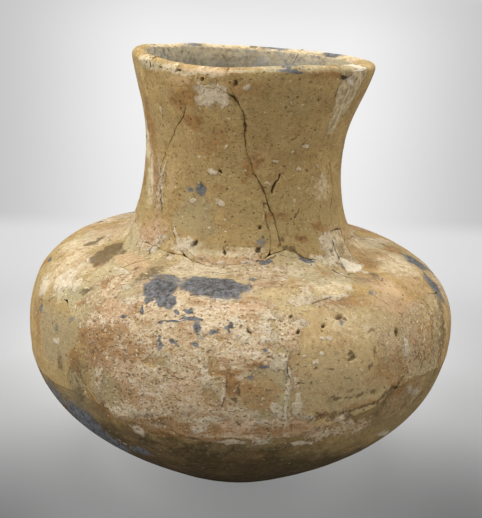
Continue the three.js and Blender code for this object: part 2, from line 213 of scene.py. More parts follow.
# Marks seen in the photo, by layer: pixels from the left and from the top, half width and half
# height in pixels, tilt in degrees where there is one, and strength where it isn't 1
SEEN_MARKS = {
    "crust": (
        (160, 325, 85, 42), (235, 318, 62, 42), (150, 385, 62, 42, -8), (215, 395, 60, 42, 0, 0.9),
        (240, 432, 80, 10, 0, 0.9), (110, 285, 28, 14, 20, 0.75), (200, 268, 30, 7, -3, 0.75),
        (262, 275, 40, 10, 0, 0.7), (405, 330, 26, 45, 0, 0.45), (345, 430, 40, 8, 12, 0.7),
        (158, 190, 5, 28, 0, 0.75), (185, 248, 9, 9, -35, 0.85), (150, 240, 16, 16, 0, 0.7),
        (390, 300, 26, 10, -20, 0.45), (292, 330, 12, 20, 0, 0.85), (296, 378, 8, 18, 0, 0.6),
        (330, 303, 30, 8, -5, 0.6), (292, 418, 22, 10, 0, 0.7),
    ),
    "clay": (
        (263, 395, 22, 22), (214, 369, 6, 13, 8), (211, 397, 11, 8), (149, 362, 7, 6),
        (161, 361, 6, 4, 0, 0.9), (108, 384, 6, 15, 8), (113, 401, 9, 5, -10), (172, 349, 5, 3),
        (221, 339, 4, 3, 0, 0.9), (52, 330, 24, 34), (90, 238, 34, 10, 28), (66, 262, 22, 9, 48, 0.9),
        (112, 228, 26, 7, 18), (232, 385, 6, 14, 0, 0.8), (370, 250, 40, 14, -20, 0.9),
        (405, 275, 26, 8, -38, 0.9), (312, 285, 26, 9, 0, 0.7), (360, 425, 46, 13, 22, 0.41),
        (405, 400, 22, 12, 40, 0.8), (180, 462, 22, 8, 0, 0.23), (150, 445, 20, 8, -15, 0.23),
        (345, 455, 34, 9, 15, 0.32), (262, 462, 14, 7, 0, 0.18), (430, 330, 12, 30, 0, 0.5),
        (160, 360, 8, 5, 0, 0.7),
    ),
    "soot": (
        (212, 286, 34, 9.5, -6, 1.2), (160, 288, 17, 10, 0, 1.1), (168, 277, 17, 6, -12, 0.62),
        (166, 301, 9, 8, 20, 1.1), (151, 298, 6, 5), (192, 318, 11, 2.5, -5), (173, 320, 9, 1.6, -6),
        (161, 321, 3, 1.5, 20), (177, 311, 3.5, 2), (191, 311, 5, 4, 20, 0.8), (197, 328, 5, 7, 0, 0.75),
        (160, 342, 3.5, 10, 0, 0.7), (174, 341, 5, 3, -20, 0.85), (215, 331, 6, 2.5, 20, 0.9),
        (229, 327, 4, 7, 0, 0.85), (194, 345, 7, 6, 0, 0.65), (122, 315, 4.5, 2, 15, 0.95),
        (142, 309, 2, 5, 25, 0.95), (40, 308, 1.6, 4.5, 0, 0.9), (55, 328, 3, 5, 0, 0.55),
        (265, 350, 2, 2, 0, 0.9), (265, 367, 7, 2, 0, 0.85), (204, 187, 4, 5, 20, 0.95),
        (201, 188, 9, 10, 40, 0.62), (190, 190, 5, 3, 0, 0.6), (81, 419, 34, 11, -42, 0.8),
        (112, 444, 22, 6, -30, 0.75), (54, 392, 20, 5, -54, 0.65), (293, 72, 16, 3.5, -3, 0.71),
        (235, 73, 12, 3, 0, 0.35), (268, 262, 8, 2.2, 0, 0.8), (308, 260, 10, 2.2, -18, 0.8),
        (254, 279, 5, 3, 0, 0.6), (341, 321, 4, 5, 0, 0.6), (372, 292, 5, 3, 0, 0.55),
        (70, 320, 5, 5, 0, 0.5), (140, 452, 9, 4, -10, 0.8), (203, 335, 10, 4, 0, 0.5),
        (264, 242, 10, 7, 0, 0.5), (251, 380, 5, 5, 0, 0.55), (418, 262, 13, 5, -40, 0.85),
        (437, 288, 5, 16, -12, 0.8),
    ),
    "umber": (
        (113, 249, 8, 5.5, 0, 1.26), (103, 256, 12, 7, 5, 0.98), (97, 263, 4, 2, 45),
        (89, 243, 6.4, 1.6, 12, 1.15), (98, 239, 6.4, 1.44, 30, 1.03), (123, 252, 4.8, 1.76, 28, 1.03),
        (86, 291, 8, 4, 10, 0.6), (152, 272, 22, 6, 28, 0.7), (135, 268, 6.4, 2.4, 25, 0.5),
        (352, 358, 3.5, 4.5, 30), (398, 332, 1.44, 3.6), (375, 350, 2, 6.4, 0, 0.85),
        (372, 366, 2.4, 3.2, 0, 0.7), (348, 378, 4, 1.6, 0, 0.7), (373, 391, 2.4, 2.4, 0, 0.9),
        (362, 394, 5.6, 2, 20, 0.9), (350, 391, 4.8, 1.6, 10, 0.6), (333, 397, 2.4, 1.6, 0, 0.9),
        (390, 392, 10, 4, 38, 0.8), (377, 414, 3.2, 2.4, 20, 0.9), (384, 402, 1.6, 4.8, -30, 0.8),
        (406, 408, 2.4, 1.6, 0, 0.9), (378, 425, 1.6, 1.6, 0, 0.8), (347, 79, 4, 2.4, 0, 1.1),
        (343, 266, 5, 4, 0, 0.7), (374, 274, 9.6, 2, -8, 0.8), (372, 279, 20, 4, -4, 0.5),
        (327, 420, 2.4, 1.6), (318, 428, 2, 1.6), (350, 417, 6, 3.5, 0, 0.9), (237, 425, 3.2, 1.44, -30),
        (130, 432, 14, 4, -25, 0.8), (176, 446, 2.4, 1.2), (218, 449, 2.4, 1.6, 30, 0.9),
        (282, 239, 3.2, 2.4, -40, 0.9), (226, 252, 2, 1.76, 0, 1.1), (260, 250, 2.4, 1.6, 20, 1.1),
        (260, 228, 1.76, 1.44, 20, 1.1), (195, 242, 2.4, 1.28, 35), (220, 171, 1.44, 1.44, 0, 1.1),
        (340, 316, 3.2, 1.6), (325, 325, 1.6, 1.44, 0, 1.1), (299, 332, 1.76, 1.28, 0, 1.1),
        (292, 315, 1.44, 1.6), (250, 331, 1.6, 2.4, 20), (281, 247, 2.4, 1.6),
        (304, 238, 3.2, 2.4, 0, 0.6), (331, 251, 3.2, 2.4, 0, 0.6), (221, 339, 2.4, 1.6, 0, 0.6),
        (266, 242, 4, 2.4, 0, 0.5), (176, 372, 1.76, 1.28), (208, 351, 1.44, 1.2), (97, 319, 1.2, 1.2),
        (268, 357, 3.2, 1.28, 10, 0.9), (280, 354, 2.4, 1.12, -20, 0.9), (233, 400, 3.2, 2.4, 0, 0.9),
        (226, 385, 1.2, 8, 0, 0.7), (240, 390, 1.6, 8, 0, 0.8), (318, 368, 2.4, 0.8, 10, 0.9),
        (331, 369, 4, 0.8, 5, 0.9), (302, 383, 5.6, 0.8, 2, 0.9), (312, 384, 2.4, 1.6, 0, 0.7),
        (300, 363, 1.44, 1.2), (60, 365, 5, 10, -35, 0.6), (78, 393, 5, 10, -35, 0.7),
        (105, 436, 2.4, 2.4, 0, 0.6), (148, 62, 1.28, 3.2, 35, 1.1), (177, 70, 1.76, 1.92, 0, 1.2),
        (159, 67, 1.04, 1.12, 0, 1.1), (202, 79, 1.2, 1.12, 0, 1.1), (182, 81, 1.2, 1.2),
        (265, 72, 1.2, 1.2), (207, 75, 1.6, 0.8, 0, 0.9), (236, 84, 1.6, 2.4, -20, 0.9),
        (303, 145, 1.44, 1.6, 0, 0.9), (293, 139, 1.44, 1.2), (223, 132, 1.12, 0.96),
        (234, 132, 1.12, 0.96), (286, 107, 1.04, 0.96), (308, 170, 2.4, 1.6, 0, 0.7),
        # (200, 88) and (160, 84) are painted shade under the rolled lip
        (247, 126, 2.4, 2.4, 0, 0.9), (311, 83, 3.2, 1.6, 0, 0.7), (200, 88, 26, 2, 0, 0.35),
        (160, 84, 10, 2, -10, 0.4), (436, 330, 10, 44, 0, 0.42), (418, 362, 16, 18, -20, 0.42),
        (440, 300, 5, 18, 0, 0.6), (372, 330, 5, 2, 0, 0.7), (352, 352, 3, 2, 0, 0.8),
        (322, 330, 2, 1.5, 0, 0.8), (384, 344, 3, 1.2, -20, 0.9), (300, 352, 1.5, 1.5, 0, 0.9),
        (345, 318, 2, 1, 0, 0.9), (80, 385, 16, 26, -30, 0.5), (105, 412, 20, 16, -35, 0.5),
        (150, 420, 26, 6, -15, 0.5), (330, 415, 30, 5, 10, 0.6), (400, 402, 30, 13, 42, 0.5),
        (443, 332, 6, 38, -4, 0.5),
    ),
    "rust": (
        (98, 338, 19, 17, -10), (93, 350, 6, 4, 0, 1.2), (138, 350, 7, 4, 0, 1.2),
        (118, 355, 7, 3, 0, 1.1), (131, 345, 14, 4, -8, 0.95), (105, 283, 6, 4, 20),
        (81, 303, 4, 3, 0, 0.9), (95, 265, 8, 3, 10, 0.8), (233, 384, 9, 14), (228, 373, 14, 2.2, 3, 1.2),
        (74, 364, 7, 12, -35), (150, 421, 26, 3, 0, 0.9), (130, 393, 20, 14, 0, 0.6),
        (85, 260, 24, 9, 30, 0.5), (150, 122, 3.5, 26, -3, 1.1), (155, 172, 2.5, 22, -6),
        (185, 100, 9, 12, 0, 1.05), (193, 121, 9, 7, 0, 1.1), (176, 103, 6, 7, 0, 0.85),
        (251, 168, 7, 9, 0, 0.95), (257, 161, 6, 7, 0, 0.95), (245, 181, 4, 3, 0, 0.8),
        (301, 238, 8, 3, -15, 0.95), (318, 228, 8, 5, -20), (283, 216, 9, 5, 0, 0.75),
        (270, 215, 3, 5, 0, 0.9), (395, 388, 12, 7, 38, 1.1), (330, 275, 14, 6, 0, 0.5),
        (360, 405, 16, 3, 15, 0.9), (325, 415, 12, 3, 5, 0.9), (372, 264, 12, 6, -15, 0.8),
        (390, 365, 22, 16, 20, 0.6), (346, 300, 24, 6, 0, 0.7), (262, 395, 22, 16, 0, 0.45),
        (185, 334, 12, 5, 0, 0.5), (252, 365, 12, 4, 0, 0.8), (105, 412, 10, 3, -40),
        (215, 418, 18, 3, -10, 0.7), (276, 431, 14, 3, 0, 0.8), (444, 345, 3, 30, 5, 0.7),
        (36, 320, 2, 30, 0, 0.7), (288, 160, 30, 34, 0, 0.25), (215, 140, 26, 18, 0, 0.5),
        # (250, 88) and (180, 86) are painted shade under the rolled lip
        (330, 75, 26, 4, 4, 0.6), (250, 88, 30, 8, 0, 0.5), (345, 95, 6, 14, 20, 0.5),
        (202, 375, 3, 2, 0, 0.9), (246, 300, 14, 5, 0, 0.5), (270, 285, 20, 4, 0, 0.5),
        (180, 86, 14, 3, 0, 0.5), (425, 325, 20, 48, 0, 0.5), (400, 372, 24, 22, -30, 0.5),
        (108, 335, 24, 16, 0, 0.75), (92, 350, 12, 20, -10, 0.7), (130, 355, 14, 8, 0, 0.7),
        (362, 300, 14, 6, 0, 0.5), (180, 430, 50, 6, -5, 0.9), (270, 432, 40, 5, 3, 0.7),
    ),
    "rose": (
        (130, 262, 16, 9, -25), (385, 285, 22, 7, -12, 0.9), (400, 305, 20, 12, 0, 0.8),
        (112, 305, 26, 12, 0, 0.7), (235, 427, 22, 8, 0, 0.9), (300, 430, 20, 8, 0, 0.9),
        (208, 70, 30, 4, -3, 0.8), (170, 180, 4, 16, 0, 0.6), (150, 228, 14, 14, 0, 0.8),
        (190, 392, 26, 16, 0, 0.6), (120, 365, 24, 12, 0, 0.6), (245, 305, 26, 8, 0, 0.7),
        (235, 262, 40, 5, 0, 0.8), (340, 232, 10, 6, -15, 0.8), (390, 345, 10, 16, 0, 0.5),
        (418, 350, 12, 30, 0, 0.7), (205, 440, 26, 5, -4, 0.5), (180, 80, 14, 5, 0, 0.7),
    ),
    "moss": (
        (52, 328, 24, 32, 0, 1.1), (70, 292, 17, 7, 10), (196, 215, 18, 26, 0, 0.9),
        (205, 246, 28, 8, 0, 0.5), (352, 280, 26, 6, -5), (316, 278, 14, 7, 0, 0.7),
        (374, 262, 10, 5, 0, 0.9), (108, 388, 7, 16, 5), (113, 402, 9, 5, -10), (332, 404, 8, 7, 0, 0.57),
        (388, 358, 7, 4, 0, 0.8), (160, 355, 14, 4, 0, 0.6), (262, 418, 14, 5, 0, 0.41),
        (215, 388, 12, 14, 0, 0.6), (105, 232, 30, 6, 25, 0.7), (75, 385, 12, 18, -35, 0.9),
        (230, 450, 60, 8, 0, 0.32), (370, 432, 30, 8, 22, 0.32), (330, 448, 40, 8, 14, 0.27),
        (392, 250, 26, 6, -25, 0.7), (255, 375, 16, 6, 0, 0.6), (310, 385, 14, 8, 0, 0.36),
        (150, 446, 22, 6, -16, 0.27), (342, 275, 20, 5, -6, 0.8), (146, 64, 12, 5, 0, 0.8),
        (136, 75, 5, 8, 0, 0.6), (165, 362, 12, 5, 0, 0.7), (245, 71, 20, 5, 0, 0.95),
        (290, 69, 24, 5, 2, 0.95), (335, 68, 20, 5, 6, 0.85),
    ),
    "chalk": (
        (67, 276, 23, 5, 38), (43, 285, 7, 9, 25, 0.85), (75, 284, 8, 6, 35, 0.95),
        (91, 259, 4, 1.8, 0, 1.1), (121, 270, 9, 2.2, -25), (205, 284, 3, 1.3, 20, 1.2),
        (153, 249, 5, 4, 0, 0.85), (170, 256, 3.5, 2.5, 0, 1.1), (187, 243, 5, 8, -38),
        (127, 287, 5, 3, 0, 0.8), (130, 300, 11, 7, 0, 0.6), (55, 342, 3.2, 3), (268, 334, 9, 11, 0, 0.9),
        (243, 334, 10, 9, 0, 0.9), (281, 362, 10, 7, 0, 1.05), (262, 422, 8, 3, 0, 0.85),
        (277, 409, 7, 8, 0, 0.9), (299, 406, 5, 13, 0, 0.9), (289, 388, 4, 5, 0, 0.9),
        (288, 405, 1.6, 24, 0, 1.1), (318, 260, 5, 3.5, 0, 1.2), (356, 267, 7, 4, -12, 1.1),
        (337, 296, 14, 3.5, 6, 0.75), (350, 288, 4, 3, 0, 0.8), (366, 272, 5, 1.6, -15),
        (340, 274, 4, 1.8, -20), (405, 345, 3.5, 12, 5, 0.75), (414, 391, 9, 5, 0, 0.75),
        (306, 354, 2.2, 1.6, 0, 1.2), (318, 362, 3.2, 2.2, 0, 1.2), (323, 354, 2, 2.6, 0, 1.1),
        (330, 338, 4, 3, 0, 0.7), (362, 371, 1.6, 1.4), (342, 417, 9, 2.2, 22),
        (348, 423, 4, 1.5, 10, 0.9), (308, 418, 8, 2.6, 0, 0.9), (230, 443, 15, 2.4, 0, 0.9),
        (262, 443, 12, 4, 0, 0.85), (302, 443, 15, 2.6, 3, 0.85), (138, 431, 9, 3.6, -25, 0.95),
        (212, 420, 16, 3, 10, 0.8), (200, 430, 8, 5, 20, 0.7), (224, 392, 2.2, 12, -10),
        (212, 92, 20, 8, -18, 1.1), (205, 101, 11, 7, -10), (226, 101, 7, 6, -30),
        (247, 88, 5, 3, 0, 0.7), (212, 171, 4, 2.6, -10, 1.3), (192, 200, 3.2, 2, 0, 1.3),
        (221, 202, 3.5, 3.3, 0, 1.3), (226, 147, 2, 2.6, 0, 1.3), (199, 157, 1.6, 1.6, 0, 1.2),
        (306, 148, 2.5, 2, 0, 1.2), (299, 169, 2, 2.2, 0, 0.9), (276, 162, 3.2, 1.5, 10),
        (267, 184, 3, 2, 0, 0.9), (293, 152, 1.3, 1.2, 0, 1.2), (318, 167, 1.3, 2.2),
        (295, 200, 1.2, 1.2, 0, 1.2), (223, 219, 2.6, 3.2, 0, 0.8), (160, 110, 1.6, 4.5, 0, 1.2),
        (266, 112, 1.6, 1.2, 0, 1.1), (291, 103, 1.4, 1.2), (310, 292, 10, 8, 0, 0.6),
        (302, 300, 14, 10, 30, 0.6), (246, 252, 1.5, 1, 0, 0.8), (362, 69, 6, 3, 38, 0.9),
        # (252, 68) along the lip crest is a painted highlight
        (352, 82, 4, 3, 40, 0.8), (252, 68, 26, 1.8, 0, 0.4), (392, 257, 1.8, 1.3, 0, 1.2),
        (385, 435, 4, 3, 0, 0.8), (160, 240, 10, 5, 30, 0.6), (222, 262, 6, 2, 10, 0.7),
        (250, 262, 14, 3, 0, 0.6), (336, 225, 3, 2, 0, 0.5), (420, 310, 10, 10, 0, 0.4),
        (270, 315, 14, 6, 0, 0.6), (115, 402, 4, 1.2, 0, 0.9), (113, 388, 3, 2, 0, 0.6),
        (140, 412, 24, 4, -8, 0.6), (190, 410, 20, 6, 0, 0.5), (238, 320, 8, 5, 0, 0.5),
        (300, 320, 8, 6, 0, 0.6), (329, 243, 8, 13, 10, 0.9), (338, 262, 14, 5, -15, 0.95),
        (350, 268, 10, 3.5, -12, 0.9), (288, 392, 1.5, 26, 0, 0.9), (290, 372, 4, 7, 0, 0.8),
        (322, 338, 3, 1.5, 0, 0.9), (352, 290, 4, 2, 0, 0.7), (155, 425, 12, 3, -15, 0.6),
    ),
    "gape": (
        (242, 128, 9, 36, 8, 0.85), (262, 195, 12, 50, 28, 0.85), (180, 112, 8, 22, -20, 0.56),
        (168, 140, 8, 22, -25, 0.52), (336, 215, 7, 40), (334, 245, 6, 10, 0, 0.5),
        (281, 232, 8, 18, 0, 0.45), (400, 330, 6, 26, 0, 0.6), (275, 252, 14, 8, 0, 0.35),
        (205, 260, 24, 6, -15, 0.12), (236, 93, 5, 7, 0, 0.5), (345, 88, 8, 12, 0, 0.7),
        (300, 253, 20, 6, -15, 0.49), (286, 270, 4, 12, 0, 0.1), (150, 433, 34, 5, -10, 0.6),
        (320, 428, 30, 6, 10, 0.6), (175, 232, 8, 16, 0, 0.6), (440, 330, 6, 30, 0, 0.6),
    ),
    "dent": (
        (148, 62, 1.6, 4, 35, 1.2), (177, 70, 2, 2.2, 0, 1.2), (159, 67, 1.2, 1.2), (202, 79, 1.4, 1.4),
        (347, 79, 5, 3, 0, 1.3), (398, 332, 1.8, 4.5, 0, 1.2), (340, 316, 3.5, 2), (325, 325, 1.8, 1.6),
        (299, 332, 2, 1.5), (292, 315, 1.6, 1.8, 0, 0.9), (226, 252, 2.2, 2), (260, 250, 2.8, 1.8, 20),
        (260, 228, 2, 1.6, 20), (220, 171, 1.5, 1.5, 0, 0.9), (236, 84, 2, 3, -20, 0.9),
        (195, 242, 3, 1.4, 35, 0.9), (170, 256, 5, 4, 0, 0.5), (352, 358, 3.2, 4, 30, 0.6),
        (250, 331, 2, 3, 20, 0.8), (406, 408, 3, 2, 0, 0.8), (149, 362, 7, 6, 0, 0.35),
        (214, 369, 6, 13, 8, 0.35), (211, 397, 11, 8, 0, 0.35), (108, 384, 6, 15, 8, 0.3),
        (212, 92, 20, 8, -18, 0.3), (205, 101, 11, 7, -10, 0.3),
    ),
    # Pale marks: paler clay, and painted highlight on the lip crest, the shoulder tops and both edges of
    # the neck
    "pale": (
        (146, 62, 12, 5, -30, 0.9), (172, 69, 16, 4.5, -12), (205, 72, 20, 5, -3),
        (240, 71, 18, 5, 0, 0.9), (275, 70, 18, 4, 0, 0.6), (315, 72, 20, 5, 3, 0.5),
        (345, 70, 14, 6, 8, 0.4), (366, 66, 8, 8, 30, 0.4), (152, 175, 5, 24, 0, 0.7),
        (322, 190, 8, 16, 0, 0.6), (235, 253, 34, 5, 0, 0.9), (185, 250, 20, 8, -10, 0.8),
        (200, 272, 34, 7, 0, 0.9), (330, 283, 22, 8, 0, 0.9), (300, 272, 16, 6, 0, 0.8),
        (80, 262, 22, 12, 35, 0.9), (60, 285, 12, 10, 40, 0.8), (350, 325, 30, 16, 0, 0.4),
        (385, 285, 16, 8, -30, 0.5), (335, 62, 16, 8, 0, 0.4), (318, 262, 14, 5, 0, 0.8),
        (392, 300, 12, 8, 0, 0.4), (90, 238, 26, 10, 10, 0.8), (50, 275, 12, 20, 0, 0.6),
        (120, 232, 22, 8, 0, 0.6), (395, 262, 22, 12, -20, 0.7), (425, 290, 12, 18, 0, 0.25),
        (365, 245, 24, 8, -5, 0.6),
    ),
}

# Lines of pixels that are both dark and cut in
GOUGE = ((281, 177), (276, 183), (273, 191))
LOW_CRACK = ((403, 378), (396, 388), (386, 393), (378, 402), (365, 406), (352, 411), (340, 413))

# Left part of the break round the bowl
BOWL_BREAK = (
    (72, 352), (78, 372), (88, 392), (98, 408), (110, 420),
    (125, 428), (150, 432), (175, 436), (200, 439), (240, 441),
)

# Thin marks: layer, half width in pixels, strength and the pixels that the mark runs through
SEEN_STROKES = (
    ("umber", 1.1, 1.1, GOUGE),
    ("dent", 1.1, 1, GOUGE),
    ("umber", 0.8, 1, ((298, 207), (297, 211), (295, 216))),
    ("umber", 0.7, 0.5, ((187, 252), (196, 257), (205, 260), (217, 264))),
    ("umber", 0.7, 1.1, ((257, 261), (268, 260), (276, 255))),
    ("umber", 0.7, 1, ((285, 247), (295, 253), (304, 258), (316, 261))),
    ("umber", 0.6, 1, LOW_CRACK),
    ("dent", 0.6, 0.5, LOW_CRACK),
    ("umber", 0.5, 1, ((334, 399), (345, 398), (353, 398))),
    ("umber", 0.6, 1.305, ((440, 300), (444, 320), (444, 345), (438, 365), (429, 385), (416, 402))),
    ("rust", 2.2, 1.15, BOWL_BREAK),
    ("umber", 0.8, 0.9, ((150, 433), (165, 434), (185, 438), (200, 440))),
    ("soot", 2.2, 0.8, ((400, 252), (412, 259), (424, 271), (434, 286), (440, 298))),
    ("soot", 1.2, 0.7, ((352, 236), (364, 239), (378, 242))),
    ("chalk", 0.7, 1.1, ((332, 268), (339, 271), (347, 276))),
    ("umber", 0.5, 1, ((334, 269), (341, 274), (348, 277))),
    ("umber", 0.5, 0.9, ((147, 255), (151, 249), (153, 246))),
    ("chalk", 0.8, 0.8, ((118, 440), (128, 447), (138, 454))),
    ("umber", 0.5, 0.9, ((120, 268), (135, 262), (150, 258))),
    ("umber", 0.6, 0.8, ((38, 300), (48, 299), (56, 297))),
    ("umber", 0.5, 0.9, ((312, 304), (322, 300), (332, 297))),
    ("chalk", 0.8, 1, ((165, 160), (161, 175), (159, 192), (161, 208))),
    ("chalk", 0.8, 0.9, ((172, 224), (177, 236), (180, 250))),
    ("umber", 0.5, 0.9, ((160, 165), (158, 175), (160, 190), (161, 212))),
    ("soot", 0.8, 0.9, ((184, 320), (192, 317), (203, 321))),
    ("umber", 0.5, 0.7, ((206, 403), (214, 407), (222, 406), (226, 398))),
    ("umber", 0.4, 0.5, ((205, 395), (207, 385), (211, 375), (212, 360))),
    ("umber", 0.6, 0.5, ((205, 272), (222, 273), (236, 271))),
    ("umber", 0.6, 0.5, ((246, 272), (262, 278), (268, 278))),
    ("umber", 0.5, 0.7, ((168, 371), (174, 378), (184, 381))),
    ("chalk", 0.8, 0.95, ((198, 296), (214, 299), (230, 300), (239, 298))),
    ("chalk", 0.6, 0.9, ((158, 303), (162, 296), (168, 291), (176, 289))),
    ("chalk", 0.5, 0.8, ((146, 292), (156, 294), (170, 284), (181, 286))),
)

# Least half sizes that a mark and a stroke keep, and a pixel of the photo at the front, in
# millimetres
LEAST_HALF_SIZE = 0.4
LEAST_HALF_STROKE = 0.32
FRONT_PIXEL = 0.34

# Marks strewn over the sides and the back: layer, how many, lowest and highest place in millimetres
# along the wall, least and greatest half size in millimetres, and strength
STREWN_MARKS = (
    ("crust", 26, 88, 182, 8, 24, 1),
    ("clay", 12, 88, 150, 2, 9, 0.9),
    ("pale", 22, 95, 232, 5, 15, 0.8),
    ("moss", 14, 80, 165, 4, 14, 0.8),
    ("rose", 14, 90, 232, 4, 11, 0.7),
    ("rust", 34, 84, 234, 1.5, 8, 0.9),
    ("chalk", 34, 88, 236, 0.8, 4.5, 1),
    ("soot", 16, 84, 160, 1.5, 8, 0.95),
    ("umber", 90, 80, 238, 0.5, 1.8, 1),
    ("dent", 45, 84, 236, 0.5, 1.1, 1),
    ("gape", 22, 88, 228, 6, 16, 0.9),
)
STREWN_FLATNESS = (0.45, 0.95)
STREWN_TILT = (-35, 35)
STREWN_STRENGTH = (0.75, 1)

# Marks on the back of the lip, so many millimetres along the wall: layer, bearing in degrees,
# half width and half height in millimetres, and strength
BACK_LIP_STATION = 239
BACK_LIP_MARKS = (
    # The pale marks here are paler clay with painted highlight along the crest
    ("pale", 112, 14, 1.2, 0.8),
    ("pale", 150, 16, 1.4, 1),
    ("pale", 192, 18, 1.4, 1),
    ("pale", 232, 16, 1.2, 0.9),
    ("soot", 128, 6, 1.6, 0.8),
    ("soot", 166, 8, 1.2, 0.7),
    ("soot", 214, 6, 1, 0.6),
    ("chalk", 140, 5, 0.8, 0.8),
    ("umber", 178, 1.4, 0.9, 0.9),
)

# Bearings in degrees between which the marks are strewn
STREWN_START = 84
STREWN_END = 284


def colour_setting(name, description, default):
    """A screen colour that the panel shows."""
    return FloatVectorProperty(
        name=name,
        description=description,
        subtype="COLOR_GAMMA",
        size=3,
        min=0,
        max=1,
        default=default,
    )


def length_setting(name, description, default, least=0.0):
    """A length in metres that the panel shows."""
    return FloatProperty(
        name=name,
        description=description,
        subtype="DISTANCE",
        unit="LENGTH",
        min=least,
        default=default,
    )


def angle_setting(name, description, default):
    """An angle that the panel shows."""
    return FloatProperty(
        name=name,
        description=description,
        subtype="ANGLE",
        unit="ROTATION",
        default=default,
    )


class ClayColours(PropertyGroup):
    """Colours of the clays and of the plaster."""

    buff: colour_setting(
        "Buff clay", "Smoothed clay of the neck and the back of the pot", (0.67, 0.555, 0.355)
    )
    crusted: colour_setting(
        "Crusted clay", "Clay under the pale crust on the front of the pot", (0.71, 0.62, 0.45)
    )
    ruddy: colour_setting(
        "Ruddy clay", "Smooth warm sherd at the right of the belly", (0.70, 0.59, 0.41)
    )
    # Colour of the bowl above its darker low part
    low_belly: colour_setting(
        "Low belly", "Upper edge of the bowl, above the smoke", (0.56, 0.46, 0.285)
    )
    # Colour that the bowl darkens to low down
    darkest_low: colour_setting(
        "Sooted clay", "Smoke-darkened bowl that stood over the hearth", (0.31, 0.245, 0.125)
    )
    plaster: colour_setting("Plaster", "Mender's plaster in the two gaps", (0.68, 0.615, 0.485))


class WearSizes(PropertyGroup):
    """Sizes of the hand-made unevenness and of the wear."""

    unevenness: length_setting(
        "Unevenness", "How far the hand-smoothed wall dips between its high places", 0.0005
    )
    crust_thickness: length_setting(
        "Crust thickness", "How far the lime crust stands over the clay", 0.0003
    )
    dent_depth: length_setting("Dent depth", "Depth of the pits and gouges", 0.0012)
    chip_depth: length_setting("Chip depth", "Depth of the chips along the breaks", 0.0006)
    joint_closing: length_setting(
        "Joint closing", "How far the mender's paste closes each side of a tight joint", 0.00016
    )
    chip_width: length_setting(
        "Chip width", "How far the chips reach from a break", 0.0016, least=0.0001
    )


class StageSettings(PropertyGroup):
    """Camera and lamps."""

    camera_distance: length_setting(
        "Camera distance", "Distance of the camera in front of the pot's axis", CAMERA_DISTANCE
    )
    camera_height: length_setting(
        "Camera height", "Height of the camera over the floor", CAMERA_HEIGHT
    )
    camera_dip: angle_setting("Camera dip", "How far the camera looks down", CAMERA_DIP)
    camera_roll: angle_setting("Camera roll", "Turn of the camera about its own axis", CAMERA_ROLL)
    camera_lens: FloatProperty(
        name="Camera lens", description="Focal length in millimetres", default=CAMERA_LENS
    )
    side_light: FloatProperty(
        name="Side light", description="Power of the left softbox in watts", default=7.5
    )
    top_light: FloatProperty(
        name="Top light", description="Power of the overhead softbox in watts", default=11.0
    )
    sky_light: FloatProperty(
        name="Sky light", description="Strength of the even light from all round", default=0.48
    )


# Repeatable noise


CELL_STEPS = (73856093, 19349663, 83492791)
SEED_STEP = 265443576
MIXING_STEP = 1274126177
LAST_HASH = 0xFFFFFF


def hashed(cell, seed):
    """A repeatable number from 0 to 1 for each whole-numbered cell."""
    mixed = cell[:, 0] * CELL_STEPS[0] ^ cell[:, 1] * CELL_STEPS[1] ^ cell[:, 2] * CELL_STEPS[2]
    mixed ^= seed * SEED_STEP
    mixed = (mixed ^ (mixed >> 13)) * MIXING_STEP
    return ((mixed ^ (mixed >> 16)) & LAST_HASH) / LAST_HASH


def lumps(points, size, seed):
    """Smooth noise from -1 to 1, with features of about the given size."""
    place = points / size
    cell = np.floor(place).astype(np.int64)
    share = place - cell
    share = share * share * (3 - 2 * share)
    total = np.zeros(len(points))
    for corner in np.ndindex(2, 2, 2):
        offset = np.array(corner)
        weight = np.prod(np.where(offset, share, 1 - share), axis=1)
        total += weight * hashed(cell + offset, seed)
    return 2 * total - 1


def rough(points, size, seed, octaves=3):
    """Noise from -1 to 1 with ever finer features."""
    total = np.zeros(len(points))
    reach = 0
    for octave in range(octaves):
        share = 0.6**octave
        total += share * lumps(points, size / 2**octave, seed + octave)
        reach += share
    return total / reach


# Places on the wall


def packed_wall():
    """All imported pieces, with a lid on the mouth, as one tree that rays can meet."""
    corners = []
    faces = []
    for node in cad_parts.values():
        first = len(corners)
        corners += [vertex.co.copy() for vertex in node.data.vertices]
        faces += [[first + corner for corner in face.vertices] for face in node.data.polygons]
    first = len(corners)
    for number in range(LID_CORNERS):
        turn = math.tau * number / LID_CORNERS
        place = (LIP_RADIUS * math.cos(turn), LIP_RADIUS * math.sin(turn), LID_HEIGHT)
        corners.append(Vector(place) * MILLIMETRE)
    faces.append(list(range(first, first + LID_CORNERS)))
    return BVHTree.FromPolygons(corners, faces)


WALL = packed_wall()


def traced(start, aim):
    """Middle radius and height at which rays from start to aim meet the wall, all round the pot."""
    met = []
    for bearing in range(0, 360, BEARING_STEP):
        turn = math.radians(bearing)
        ends = [
            Vector((radius * math.sin(turn), -radius * math.cos(turn), height)) * MILLIMETRE
            for radius, height in (start, aim)
        ]
        place = WALL.ray_cast(ends[0], ends[1] - ends[0])[0]
        met.append((math.hypot(place.x, place.y), place.z))
    return np.median(met, axis=0) / MILLIMETRE


